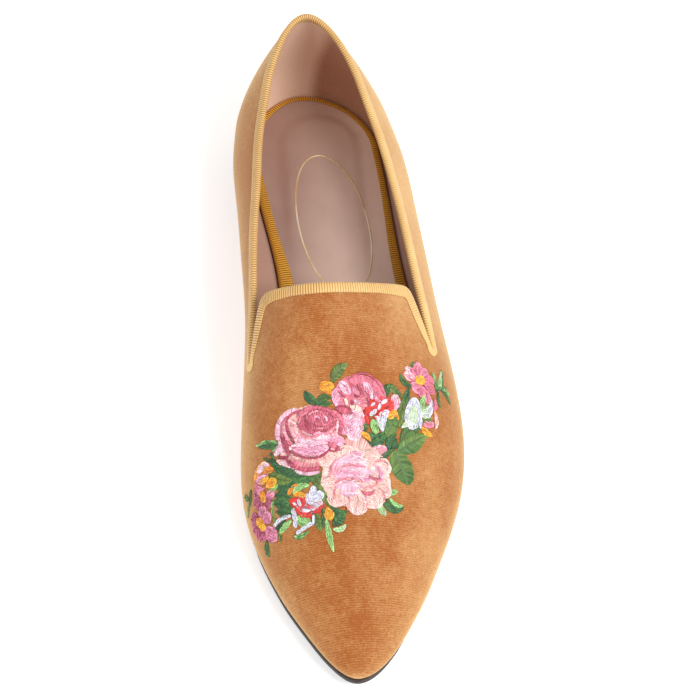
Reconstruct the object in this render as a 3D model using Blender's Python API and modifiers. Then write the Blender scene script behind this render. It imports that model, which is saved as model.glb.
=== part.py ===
"""A velvet slipper loafer for the left foot: pointed toe, low heel, bound topline with a slit each side.

Lengths are in millimetres until a mesh is made. The shoe is worked out from its last, the form that a
shoemaker pulls the upper over, as a surface of two parameters on each side of the foot:

    station   distance along the shoe, 0 at the back of the heel and LENGTH at the point of the toe
    climb     0 at the feather edge, where upper meets sole, and 1 on the ridge over the foot

Sides are LATERAL (outer, +X) and MEDIAL (inner, -X). In the model the toe points to -Y and +Z is up.
"""

import bmesh
import bpy
import numpy as np

NAME = "slipper_loafer"
MM = 0.001
LATERAL, MEDIAL = 1, -1

# Driving sizes.
LENGTH = 265.5
CENTRE_X, CENTRE_STATION = 5.72, 133.1
WALL = 1.3
GAP, FEATHER_GAP = 0.3, 0.5   # between curved pieces, and under the upper

# The last: a row for each section. lateral_x and medial_x are the feather edge's distances from the
# shoe's axis, the bulges push the wall out above it, and the shoulders say how square the top is.
SECTION_COLUMNS = (
    "station", "lateral_x", "lateral_bulge", "medial_x", "medial_bulge",
    "ridge_x", "ridge_z", "lateral_shoulder", "medial_shoulder",
)
SECTIONS = (
    (0,   27.6, 12.2, 22.8, 16.1, -0.7, 75.0, 0.23, 0.38),
    (25,  30.0, 10.4, 24.8, 15.3,  0.1, 71.5, 0.32, 0.39),
    (50,  32.0, 20.2, 24.6, 24.2,  0.0, 69.5, 0.23, 0.32),
    (75,  33.5, 22.2, 21.0, 29.7, -2.0, 68.8, 0.39, 0.585),
    (100, 35.8, 20.9, 17.8, 33.4, -4.4, 68.5, 0.54, 0.965),
    (127, 40.5, 15.7, 20.0, 27.2, -5.8, 65.8, 0.62, 1.21),
    (150, 43.6, 15.6, 26.6, 16.9, -5.5, 59.4, 0.62, 1.15),
    (175, 43.9, 17.6, 32.4, 11.0, -4.0, 48.0, 0.62, 0.97),
    (200, 39.4, 17.2, 33.4, 10.0, -2.0, 38.2, 0.63, 0.83),
    (225, 28.9, 15.2, 26.8,  9.0, -0.6, 29.8, 0.63, 0.74),
    (245, 20.3, 12.6, 18.5,  8.0, -0.1, 23.4, 0.62, 0.69),
    (266, 14.7, 11.8, 12.2,  9.4,  0.0, 19.5, 0.62, 0.65),
)
BULGE_LEVEL = 0.34          # height of the bulge, as a share of the section's height
HEEL_ROUND, HEEL_SQUARENESS = 34.0, 1.9
TOE_ROUND = 33.0
BACK_FADE = 60.0            # how far forward the back's own profile reaches
BACK_MIDDLE, BACK_TUCK, BACK_LEAN = 30.0, 7.0, 5.0
BACK_BELOW, BACK_ABOVE = 19.0, 32.0

# The sole's underside: flat on the floor at the ball, up over the waist to the heel, and toe spring.
SOLE = 3.0
HEEL_HEIGHT = 7.4
BALL_BACK, BALL_FRONT, HEEL_SEAT = 165.0, 188.0, 50.0
TOE_SPRING, SPRING_POWER = 5.7, 1.7
SOLE_MARGINS = np.array([0.7, 0.7])         # past the feather edge: along the shoe, at the toe's point
HEEL_BREAST, HEEL_HOLLOW, HEEL_TAPER = 58.0, 3.0, 1.2

# The opening: heights of the quarters' top edge, the slits and the throat.
TOPLINE_COLUMNS = ("station", "lateral_z", "medial_z")
TOPLINE = (
    (0,   62.0, 62.0),
    (14,  59.5, 59.3),
    (35,  54.8, 54.1),
    (55,  50.8, 50.7),
    (80,  48.3, 49.7),
    (108, 46.2, 45.8),
    (127, 43.3, 42.2),
    (155, 35.6, 34.6),
)
SLIT_STATION = {LATERAL: 149.2, MEDIAL: 151.5}
SLIT_RADIUS = 1.3
CORNER_STATION = {LATERAL: 127.0, MEDIAL: 127.6}
CORNER_HEIGHT = {LATERAL: 48.6, MEDIAL: 48.4}
CORNER_ROUND = {LATERAL: 6.0, MEDIAL: 9.5}
THROAT_STATION = 134.6

# Grosgrain bindings and the insole.
RIBBON = 0.5
BINDING_WIDTH = 2.9
INSOLE_THICKNESS = 2.0
INSOLE_MARGINS = np.array([-2.8, -8.0])
INSOLE_RIBBON_COLUMNS = ("station", "lateral_width", "medial_width")
INSOLE_RIBBON = (
    (0,   1.1, 1.1),
    (40,  1.5, 2.0),
    (60,  1.4, 2.5),
    (80,  2.3, 2.5),
    (100, 3.2, 4.6),
    (150, 3.4, 5.0),
    (266, 3.0, 3.0),
)

# Mesh fineness.
QUARTER_ROWS, QUARTER_COLUMNS, QUARTER_CROWDING = 7, 24, 20.0
LEG_ROWS, THROAT_ROWS, VAMP_COLUMNS = 5, 8, 22
SLIT_END_STEPS = (0.5, 0.87, 1.0)
BINDING_STATIONS, TURN_CROWDING, PATH_POINTS = 150, 5.0, 800
INSOLE_BINDING_STATIONS = 45
SOLE_ROWS, SOLE_ACROSS, HEEL_ROWS, PLAN_POINTS = 40, 6, 14, 400
BACK_CROWDING, TOE_CROWDING = 0.12, 0.15     # how closely rows and columns crowd at the rounded ends
RISE_CROWDING = 1.0
SHARP = 0.7                  # radians between faces, past which an edge is shaded sharp
MERGE_DISTANCE = 1e-7        # metres

# How finely the last is probed: shares of a climb, millimetres of station, and rounds of a search.
CLIMB_STEP, STATION_STEP, LEG_PROBE = 0.001, 0.01, 0.01
FINE_CLIMB_STEP = 0.0001
HALVINGS, WALKS = 40, 6

COLOURS = {
    "velvet": ((0.62, 0.32, 0.11), 0.85),
    "ribbon": ((0.85, 0.62, 0.25), 0.6),
    "insole_ribbon": ((0.62, 0.36, 0.05), 0.6),
    "insole_leather": ((0.42, 0.27, 0.22), 0.5),
    "sole_leather": ((0.035, 0.025, 0.022), 0.5),
    "heel_leather": ((0.03, 0.022, 0.02), 0.55),
}


def spline(knots, values):
    """The natural cubic spline through the values at the knots, as a function."""
    knots, values = np.asarray(knots, float), np.asarray(values, float)
    gap, slope = np.diff(knots), np.diff(values) / np.diff(knots)
    system, pull = np.eye(len(knots)), np.zeros(len(knots))
    for i in range(1, len(knots) - 1):
        system[i, i - 1:i + 2] = gap[i - 1], 2 * (gap[i - 1] + gap[i]), gap[i]
        pull[i] = 6 * (slope[i] - slope[i - 1])
    bend = np.linalg.solve(system, pull)

    def value(at):
        at = np.clip(at, knots[0], knots[-1])
        i = np.clip(np.searchsorted(knots, at, side="right") - 1, 0, len(gap) - 1)
        right = (at - knots[i]) / gap[i]
        left = 1 - right
        curve = (left**3 - left) * bend[i] + (right**3 - right) * bend[i + 1]
        return left * values[i] + right * values[i + 1] + curve * gap[i] ** 2 / 6

    return value


def columns(names, rows):
    """A spline along the station for each named column after the first."""
    table = np.array(rows, float).T
    return {name: spline(table[0], values) for name, values in zip(names[1:], table[1:])}


SECTION = columns(SECTION_COLUMNS, SECTIONS)
TOP_EDGE = columns(TOPLINE_COLUMNS, TOPLINE)
RIBBON_WIDTH = columns(INSOLE_RIBBON_COLUMNS, INSOLE_RIBBON)


def by_side(side, table, column):
    """A column that has a lateral and a medial version, for an array of sides."""
    lateral, medial = table["lateral_" + column], table["medial_" + column]
    return lambda station: np.where(side > 0, lateral(station), medial(station))


def underside(station):
    """Height of the outsole's underside: zero at the ball, rising to the heel seat and to the toe."""
    waist = np.clip((BALL_BACK - station) / (BALL_BACK - HEEL_SEAT), 0, 1)
    toe = np.clip((station - BALL_FRONT) / (LENGTH - BALL_FRONT), 0, None)
    return (HEEL_HEIGHT + GAP) * waist**2 * (3 - 2 * waist) + TOE_SPRING * toe**SPRING_POWER


def outsole_top(station):
    return underside(station) + SOLE


def feather_height(station):
    return outsole_top(station) + FEATHER_GAP


def insole_level(station):
    """Underside of the insole, above the folded edge of its ribbon."""
    return feather_height(station) + RIBBON + GAP


def insole_top(station):
    return insole_level(station) + INSOLE_THICKNESS


def heel_top(station):
    return underside(station) - GAP


def floor(station):
    return np.zeros_like(station)


def last(side, station, climb):
    """Points of the last. A section's half is a cubic Bezier curve from the feather edge, out round the
    bulge and level on to the ridge. Widths close like a superellipse at the heel and an ellipse at the
    toe, and the back leans forward below and above its middle height."""
    side, station, climb = np.broadcast_arrays(side, np.asarray(station, float), climb)
    ridge_x, ridge_z = SECTION["ridge_x"](station), SECTION["ridge_z"](station)
    feather_z = feather_height(station)
    feather_x = side * by_side(side, SECTION, "x")(station)
    bulge_x = feather_x + side * by_side(side, SECTION, "bulge")(station)
    shoulder_x = ridge_x + by_side(side, SECTION, "shoulder")(station) * (feather_x - ridge_x)
    b0, b1 = (1 - climb) ** 3, 3 * climb * (1 - climb) ** 2
    b2, b3 = 3 * climb**2 * (1 - climb), climb**3
    rise = b1 * BULGE_LEVEL + b2 + b3
    reach = b0 * feather_x + b1 * bulge_x + b2 * shoulder_x + b3 * ridge_x - ridge_x
    heel = np.clip(1 - station / HEEL_ROUND, 0, 1)
    heel = (1 - heel**HEEL_SQUARENESS) ** (1 / HEEL_SQUARENESS)
    toe = np.sqrt(1 - np.clip(1 - (LENGTH - station) / TOE_ROUND, 0, 1) ** 2)
    x = ridge_x + reach * heel * toe
    z = feather_z + (ridge_z - feather_z) * rise * toe
    low, high = (BACK_MIDDLE - z) / BACK_BELOW, (z - BACK_MIDDLE) / BACK_ABOVE
    lean = np.where(z < BACK_MIDDLE, BACK_TUCK * low**2, BACK_LEAN * high**2)
    forward = station + lean * np.clip(1 - station / BACK_FADE, 0, 1) ** 2
    return np.stack([x - CENTRE_X, CENTRE_STATION - forward, z], axis=-1)


def climb_to(side, station, height):
    """The climb at which a section reaches a height, by halving."""
    low, high = np.zeros(np.broadcast(side, station, height).shape), 1.0
    for _ in range(HALVINGS):
        middle = (low + high) / 2
        under = last(side, station, middle)[..., 2] < height
        low, high = np.where(under, middle, low), np.where(under, high, middle)
    return (low + high) / 2


def normal(side, station, climb):
    """Outward unit normal of the last, from two short steps along it."""
    here = last(side, station, climb)
    along = last(side, station + STATION_STEP, climb) - here
    up = here - last(side, station, climb - CLIMB_STEP)
    across = np.cross(up, along) * np.asarray(side)[..., None]
    return across / np.linalg.norm(across, axis=-1, keepdims=True)


def quarter_top(side, station):
    """Climb of the quarter's top edge. It turns up into the end of the slit on a small radius."""
    height = by_side(side, TOP_EDGE, "z")(station)
    into = np.clip(station - (SLIT_STATION[side] - SLIT_RADIUS), 0, SLIT_RADIUS)
    height = height + SLIT_RADIUS - np.sqrt(SLIT_RADIUS**2 - into**2)
    return climb_to(side, station, height)


def vamp_edge(side, climb):
    """Station of the vamp's edge: round the end of the slit, up its leg and over the throat."""
    slit_climb, corner_climb, girth = vamp_leg(side)
    up = np.maximum(climb - slit_climb, 0) * girth
    slope = (SLIT_STATION[side] - CORNER_STATION[side]) / ((corner_climb - slit_climb) * girth)
    turn = SLIT_RADIUS * slope / np.hypot(1, slope)
    bend = SLIT_RADIUS - np.sqrt(SLIT_RADIUS**2 - np.minimum(up, turn) ** 2)
    straight = SLIT_STATION[side] - bend - slope * np.maximum(up - turn, 0)
    over = np.clip((climb - corner_climb) / (1 - corner_climb), 0, 1)
    across = CORNER_STATION[side] + (THROAT_STATION - CORNER_STATION[side]) * over * (2 - over)
    apart = straight - across
    rounding = (np.hypot(apart, CORNER_ROUND[side]) - np.abs(apart)) / 2
    fade = np.clip((climb - slit_climb) / (corner_climb - slit_climb), 0, 1) * (1 - over) ** 2
    return np.maximum(straight, across) + rounding * fade


def vamp_leg(side):
    """Climbs of the slit's end and of the throat's corner, and millimetres for one whole climb there."""
    slit_climb = float(quarter_top(side, SLIT_STATION[side]))
    corner_climb = float(climb_to(side, CORNER_STATION[side], CORNER_HEIGHT[side]))
    low, high = last(side, SLIT_STATION[side], slit_climb + np.array([-LEG_PROBE, LEG_PROBE]))
    return slit_climb, corner_climb, np.linalg.norm(high - low) / (2 * LEG_PROBE)


def crowded(count, crowding):
    """Numbers from 0 to 1 that crowd at 0 as squares do, so that a round end gets even faces."""
    even = np.linspace(0, 1, count)
    return even**2 * (1 + crowding) / (even + crowding)


def object_from(name, points, faces, material, closed=True):
    """A mesh object from points in millimetres. Double points are merged and faces turned outwards."""
    mesh = bpy.data.meshes.new(name)
    mesh.from_pydata((points.reshape(-1, 3) * MM).tolist(), [], faces.tolist())
    work = bmesh.new()
    work.from_mesh(mesh)
    bmesh.ops.remove_doubles(work, verts=work.verts, dist=MERGE_DISTANCE)
    if closed:
        bmesh.ops.recalc_face_normals(work, faces=work.faces)
    work.to_mesh(mesh)
    work.free()
    mesh.shade_smooth()
    mesh.set_sharp_from_angle(angle=SHARP)
    mesh.materials.append(material)
    made = bpy.data.objects.new(name, mesh)
    bpy.data.collections[NAME].objects.link(made)
    return made


def grid_faces(rows, across, first=0):
    """Quads of a grid of points stored row by row."""
    corner = first + (np.arange(rows - 1)[:, None] * across + np.arange(across - 1)).reshape(-1, 1)
    return corner + np.array([0, 1, across + 1, across])


def spread(points, count, crowding):
    """Indices of a path's points at even steps of its length, closer where the path turns."""
    step = np.diff(points, axis=0)
    length = np.linalg.norm(step, axis=1)
    heading = step / length[:, None]
    turn = np.linalg.norm(np.diff(heading, axis=0, prepend=heading[:1]), axis=1)
    travel = np.concatenate([[0], np.cumsum(length + crowding * turn)])
    return np.abs(travel - np.linspace(0, travel[-1], count)[:, None]).argmin(axis=1)


def quarter_grid(side):
    """One quarter from the feather edge to the top edge, its columns running from the back to the slit."""
    round_from = SLIT_STATION[side] - SLIT_RADIUS
    station = round_from * crowded(PATH_POINTS, BACK_CROWDING)
    edge = last(side, station, quarter_top(side, station))
    station = station[spread(edge, QUARTER_COLUMNS, QUARTER_CROWDING)]
    station = np.concatenate([station, round_from + SLIT_RADIUS * np.array(SLIT_END_STEPS)])
    share = np.linspace(0, 1, QUARTER_ROWS + 1)[:, None]
    return last(side, station, share * quarter_top(side, station))


def vamp_climbs(side):
    """Climbs of the vamp's rows: below the slit, round its end, up the leg and over to the ridge."""
    slit_climb, corner_climb, girth = vamp_leg(side)
    below = slit_climb * np.linspace(0, 1, QUARTER_ROWS + 1)
    end = slit_climb + SLIT_RADIUS / girth * np.array(SLIT_END_STEPS)
    leg = np.linspace(end[-1], corner_climb, LEG_ROWS + 1)[1:]
    throat = np.linspace(corner_climb, 1, THROAT_ROWS + 1)[1:]
    return np.concatenate([below, end, leg, throat])


def vamp_grid(side):
    """Half the vamp, its rows running from the opening's edge to the point of the toe."""
    climb = vamp_climbs(side)[:, None]
    left = (LENGTH - vamp_edge(side, climb)) * crowded(VAMP_COLUMNS, TOE_CROWDING)[::-1]
    return last(side, LENGTH - left, climb)


def make_upper(material):
    """The velvet upper: two quarters and two halves of the vamp as one skin, made solid inwards."""
    points, faces, first = [], [], 0
    for side in (LATERAL, MEDIAL):
        for grid in (quarter_grid(side), vamp_grid(side)):
            quads = grid_faces(*grid.shape[:2], first)
            points.append(grid.reshape(-1, 3))
            faces.append(quads[:, ::-1] if side == LATERAL else quads)
            first += len(points[-1])
    upper = object_from("upper", np.concatenate(points), np.concatenate(faces), material, closed=False)
    wall = upper.modifiers.new("wall", "SOLIDIFY")
    wall.thickness = WALL * MM
    wall.offset = -1


def opening_path():
    """The edge of the opening as a closed loop of sides, stations and climbs, closer where it turns."""
    loop = []
    for side in (LATERAL, MEDIAL):
        station = SLIT_STATION[side] * crowded(PATH_POINTS, BACK_CROWDING)
        climb = quarter_top(side, station)
        rise = climb[-1] + (1 - climb[-1]) * crowded(PATH_POINTS, RISE_CROWDING)[1:]
        half = np.array([
            np.full(len(station) + len(rise), side),
            np.concatenate([station, vamp_edge(side, rise)]),
            np.concatenate([climb, rise]),
        ])
        loop.append(half if side == LATERAL else half[:, -2::-1])
    loop = np.concatenate(loop, axis=1)
    return loop[:, spread(last(*loop), BINDING_STATIONS + 1, TURN_CROWDING)[:-1]]


def nearest_on_last(side, station, climb, target):
    """The last's nearest points to some targets, and its normals there, by walking the parameters."""
    for _ in range(WALKS):
        here = last(side, station, climb)
        along = (last(side, station + STATION_STEP, climb) - here) / STATION_STEP
        up = (here - last(side, station, climb - FINE_CLIMB_STEP)) / FINE_CLIMB_STEP
        miss = target - here
        along2, up2, both = (along**2).sum(-1), (up**2).sum(-1), (along * up).sum(-1)
        miss_along, miss_up = (miss * along).sum(-1), (miss * up).sum(-1)
        area2 = along2 * up2 - both**2
        station = np.clip(station + (miss_along * up2 - miss_up * both) / area2, 0, LENGTH)
        climb = np.clip(climb + (miss_up * along2 - miss_along * both) / area2, 0, 1)
    return last(side, station, climb), normal(side, station, climb)


def channel(name, edge, out, into, foot, foot_out, wall, material):
    """A ribbon folded round a closed edge: a leaf on each face of a wall, joined past the edge."""
    near, far = GAP, GAP + RIBBON
    profile = np.stack([
        foot + foot_out * far,
        edge - into * far + out * far,
        edge - into * far - out * (wall + far),
        foot - foot_out * (wall + far),
        foot - foot_out * (wall + near),
        edge - into * near - out * (wall + near),
        edge - into * near + out * near,
        foot + foot_out * near,
    ], axis=1)
    ring = np.concatenate([profile, profile[:1]])
    ring = np.concatenate([ring, ring[:, :1]], axis=1)
    object_from(name, ring, grid_faces(*ring.shape[:2]), material)


def make_topline_binding(material):
    """Grosgrain over the edge of the opening, round the heel, both slits and the throat in one."""
    path = opening_path()
    edge, out = last(*path), normal(*path)
    ahead = np.roll(edge, -1, axis=0) - np.roll(edge, 1, axis=0)
    into = np.cross(out, ahead)
    into /= np.linalg.norm(into, axis=1, keepdims=True)
    foot, foot_out = nearest_on_last(*path, edge + into * BINDING_WIDTH)
    channel("topline_binding", edge, out, into, foot, foot_out, WALL, material)


def feather_loop(margins, count=PLAN_POINTS):
    """The feather edge in plan, moved out by a margin that changes to another at the point of the toe.
    It starts at the back, runs along the lateral side to the toe and returns along the medial side."""
    station = LENGTH * np.sin(np.linspace(0, np.pi / 2, count)) ** 2
    station = np.concatenate([station, station[-2:0:-1]])
    side = np.where(np.arange(len(station)) < count, LATERAL, MEDIAL)
    loop = last(side, station, 0.0)[:, :2]
    ahead = np.roll(loop, -1, axis=0) - np.roll(loop, 1, axis=0)
    out = ahead[:, ::-1] * (-1, 1) / np.linalg.norm(ahead, axis=1, keepdims=True)
    tip = np.clip(1 - (LENGTH - station) / TOE_ROUND, 0, 1)[:, None] ** 2
    margin, toe_margin = margins
    return loop + (margin + (toe_margin - margin) * tip) * out, out


def heights(points, height):
    """Points in plan given a height that depends on their station."""
    z = height(CENTRE_STATION - points[..., 1])
    return np.concatenate([points, z[..., None]], axis=-1)


def footprint(margins, share, hollow=0.0, end=None):
    """Rows of points across an outline, at shares of the way from its back to its toe or to an end
    station. The rows bend forward in the middle by up to a hollow, as a heel's breast does. Over the
    whole length two rows are moved on to the ends of the flat ball, so that its edges are straight."""
    loop, _ = feather_loop(margins)
    lateral, medial = loop[:PLAN_POINTS], np.concatenate([loop[:1], loop[:PLAN_POINTS - 2:-1]])
    back = loop[0, 1]
    if end is None:
        y = back + (loop[PLAN_POINTS - 1, 1] - back) * share
        for limit in (CENTRE_STATION - BALL_BACK, CENTRE_STATION - BALL_FRONT):
            y[np.abs(y - limit).argmin()] = limit
    else:
        y = back + (CENTRE_STATION - end - back) * share
    lateral_x = np.interp(-y, -lateral[:, 1], lateral[:, 0])
    medial_x = np.interp(-y, -medial[:, 1], medial[:, 0])
    across = np.linspace(0, 1, SOLE_ACROSS + 1)
    x = lateral_x[:, None] + (medial_x - lateral_x)[:, None] * across
    bent = y[:, None] + hollow * share[:, None] * 4 * across * (1 - across)
    return np.stack([x, bent], axis=-1)


def slab(name, lower, upper, material):
    """A solid between two grids of points that have the same rows."""
    ring = np.concatenate([lower, upper[:, ::-1], lower[:, :1]], axis=1)
    rows, across = ring.shape[:2]
    row = np.arange(lower.shape[1] - 1)
    cap = np.stack([row, row + 1, across - 3 - row, across - 2 - row], axis=1)
    faces = np.concatenate([grid_faces(rows, across), cap, cap + (rows - 1) * across])
    object_from(name, ring, faces, material)


def rounded_ends(count):
    """Shares from 0 to 1 that crowd at both ends."""
    return np.sin(np.linspace(0, np.pi / 2, count)) ** 2


def make_outsole(material):
    """The outsole: the feather's outline with a margin, bent to the arch and the toe spring."""
    plan = footprint(SOLE_MARGINS, rounded_ends(SOLE_ROWS))
    slab("outsole", heights(plan, underside), heights(plan, outsole_top), material)


def make_heel(material):
    """The low heel block, flat on the floor, tapered, with a hollow breast."""
    share = crowded(HEEL_ROWS, BACK_CROWDING)
    top = footprint(SOLE_MARGINS, share, HEEL_HOLLOW, HEEL_BREAST)
    foot = footprint(SOLE_MARGINS - HEEL_TAPER, share, HEEL_HOLLOW, HEEL_BREAST - HEEL_TAPER)
    slab("heel", heights(foot, floor), heights(top, heel_top), material)


def make_insole(material):
    """The leather-covered insole, a slab over the whole foot."""
    plan = footprint(INSOLE_MARGINS, rounded_ends(SOLE_ROWS))
    slab("insole", heights(plan, insole_level), heights(plan, insole_top), material)


def make_insole_binding(material):
    """Grosgrain folded round the insole's edge."""
    edge, out = feather_loop(INSOLE_MARGINS, INSOLE_BINDING_STATIONS)
    side = np.where(np.arange(len(edge)) < INSOLE_BINDING_STATIONS, LATERAL, MEDIAL)
    width = by_side(side, RIBBON_WIDTH, "width")(CENTRE_STATION - edge[:, 1])
    foot = edge - out * width[:, None]
    into = np.concatenate([-out, np.zeros((len(out), 1))], axis=1)
    up = np.array([0, 0, 1.0])
    edge, foot = heights(edge, insole_top), heights(foot, insole_top)
    channel("insole_binding", edge, up, into, foot, up, INSOLE_THICKNESS, material)


def make_material(name):
    colour, roughness = COLOURS[name]
    material = bpy.data.materials.new(name)
    material.use_nodes = True
    shader = material.node_tree.nodes["Principled BSDF"]
    shader.inputs["Base Color"].default_value = (*colour, 1)
    shader.inputs["Roughness"].default_value = roughness
    shader.inputs["Metallic"].default_value = 0
    return material


def main():
    for old in list(bpy.data.objects):
        bpy.data.objects.remove(old)
    bpy.context.scene.collection.children.link(bpy.data.collections.new(NAME))
    material = {name: make_material(name) for name in COLOURS}
    make_outsole(material["sole_leather"])
    make_heel(material["heel_leather"])
    make_insole(material["insole_leather"])
    make_insole_binding(material["insole_ribbon"])
    make_upper(material["velvet"])
    make_topline_binding(material["ribbon"])


main()
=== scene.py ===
# %% [markdown]
# # A velvet slipper loafer
# The shoe is a soft slipper: amber velvet pulled over a last, a grosgrain ribbon folded round the opening,
# a padded leather insole with its own ribbon, and a spray of roses worked in silk thread on the vamp.
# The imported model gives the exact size. Every finer piece below is worked out from the same last, so that
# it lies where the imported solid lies.

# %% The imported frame
from collections import namedtuple

import bmesh
import bpy
import numpy as np
from mathutils import Matrix, Vector


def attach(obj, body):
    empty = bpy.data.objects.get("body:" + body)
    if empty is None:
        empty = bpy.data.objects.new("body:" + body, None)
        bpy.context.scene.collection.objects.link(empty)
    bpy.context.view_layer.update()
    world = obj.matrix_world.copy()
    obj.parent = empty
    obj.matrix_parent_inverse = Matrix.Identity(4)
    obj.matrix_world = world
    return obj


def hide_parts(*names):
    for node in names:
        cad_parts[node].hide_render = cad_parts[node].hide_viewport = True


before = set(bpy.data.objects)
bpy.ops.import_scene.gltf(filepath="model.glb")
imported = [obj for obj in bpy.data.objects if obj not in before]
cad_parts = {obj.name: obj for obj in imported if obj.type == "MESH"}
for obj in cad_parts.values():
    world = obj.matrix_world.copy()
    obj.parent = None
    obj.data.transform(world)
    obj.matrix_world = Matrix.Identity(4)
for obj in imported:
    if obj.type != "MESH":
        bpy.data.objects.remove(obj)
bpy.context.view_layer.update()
print("packed nodes:", ", ".join(sorted(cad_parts)))

# %% [markdown]
# ## The last
# A shoemaker works over a last. Here it is a surface of two numbers on each side of the foot: the station,
# in millimetres from the back of the heel, and the climb, 0 at the feather edge and 1 on the ridge over the
# foot. A natural spline through twelve sections gives every section between them, which keeps the table
# short and the surface fair. Nobody measured a shoe for them: a separate least-squares fit to the shoe's
# outlines gave the numbers of the sections and of the opening's edge, and they were rounded. Modelling by
# hand from a cube would be quicker to start, but the ribbon and the stitches need an exact surface to lie on.

# %% Sizes of the last
MM = 0.001
LATERAL, MEDIAL = 1, -1
LENGTH = 265.5
CENTRE_X, CENTRE_STATION = 5.72, 133.1
WALL = 1.3
GAP, FEATHER_GAP = 0.3, 0.5
# Half widths at the feather edge and how much further out the bulge is, the ridge's place and height, and
# how far the shoulders reach.
SECTION_COLUMNS = (
    "station", "lateral_x", "lateral_bulge", "medial_x", "medial_bulge",
    "ridge_x", "ridge_z", "lateral_shoulder", "medial_shoulder",
)
SECTIONS = (
    (0,   27.6, 12.2, 22.8, 16.1, -0.7, 75.0, 0.23, 0.38),
    (25,  30.0, 10.4, 24.8, 15.3,  0.1, 71.5, 0.32, 0.39),
    (50,  32.0, 20.2, 24.6, 24.2,  0.0, 69.5, 0.23, 0.32),
    (75,  33.5, 22.2, 21.0, 29.7, -2.0, 68.8, 0.39, 0.585),
    (100, 35.8, 20.9, 17.8, 33.4, -4.4, 68.5, 0.54, 0.965),
    (127, 40.5, 15.7, 20.0, 27.2, -5.8, 65.8, 0.62, 1.21),
    (150, 43.6, 15.6, 26.6, 16.9, -5.5, 59.4, 0.62, 1.15),
    (175, 43.9, 17.6, 32.4, 11.0, -4.0, 48.0, 0.62, 0.97),
    (200, 39.4, 17.2, 33.4, 10.0, -2.0, 38.2, 0.63, 0.83),
    (225, 28.9, 15.2, 26.8,  9.0, -0.6, 29.8, 0.63, 0.74),
    (245, 20.3, 12.6, 18.5,  8.0, -0.1, 23.4, 0.62, 0.69),
    (266, 14.7, 11.8, 12.2,  9.4,  0.0, 19.5, 0.62, 0.65),
)
BULGE_LEVEL = 0.34
HEEL_ROUND, HEEL_SQUARENESS, TOE_ROUND = 34.0, 1.9, 33.0
BACK_FADE = 60.0
BACK_MIDDLE, BACK_TUCK, BACK_LEAN = 30.0, 7.0, 5.0
BACK_BELOW, BACK_ABOVE = 19.0, 32.0
SOLE, HEEL_HEIGHT = 3.0, 7.4
BALL_BACK, BALL_FRONT, HEEL_SEAT = 165.0, 188.0, 50.0
TOE_SPRING, SPRING_POWER = 5.7, 1.7
PROBE, CLIMB_PROBE, FINE_PROBE = 0.01, 0.001, 1e-4
HALVINGS = 40


# %% Splines through a table
def spline(knots, values):
    """The natural cubic spline through the values at the knots, as a function."""
    knots, values = np.asarray(knots, float), np.asarray(values, float)
    gap, slope = np.diff(knots), np.diff(values) / np.diff(knots)
    system, pull = np.eye(len(knots)), np.zeros(len(knots))
    for i in range(1, len(knots) - 1):
        system[i, i - 1:i + 2] = gap[i - 1], 2 * (gap[i - 1] + gap[i]), gap[i]
        pull[i] = 6 * (slope[i] - slope[i - 1])
    bend = np.linalg.solve(system, pull)

    def value(at):
        at = np.clip(at, knots[0], knots[-1])
        i = np.clip(np.searchsorted(knots, at, side="right") - 1, 0, len(gap) - 1)
        right = (at - knots[i]) / gap[i]
        left = 1 - right
        curve = (left**3 - left) * bend[i] + (right**3 - right) * bend[i + 1]
        return left * values[i] + right * values[i + 1] + curve * gap[i] ** 2 / 6

    return value


def columns(names, rows):
    """A spline along the station for each named column after the first."""
    table = np.array(rows, float).T
    return {name: spline(table[0], values) for name, values in zip(names[1:], table[1:])}


SECTION = columns(SECTION_COLUMNS, SECTIONS)


def by_side(side, table, column):
    """A column that has a lateral and a medial version, for an array of sides."""
    lateral, medial = table["lateral_" + column], table["medial_" + column]
    return lambda station: np.where(side > 0, lateral(station), medial(station))


# %% The last as a surface
def underside(station):
    """Height of the sole's underside: zero at the ball, rising to the heel seat and to the toe."""
    waist = np.clip((BALL_BACK - station) / (BALL_BACK - HEEL_SEAT), 0, 1)
    toe = np.clip((station - BALL_FRONT) / (LENGTH - BALL_FRONT), 0, None)
    return (HEEL_HEIGHT + GAP) * waist**2 * (3 - 2 * waist) + TOE_SPRING * toe**SPRING_POWER


def feather_height(station):
    return underside(station) + SOLE + FEATHER_GAP


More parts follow.
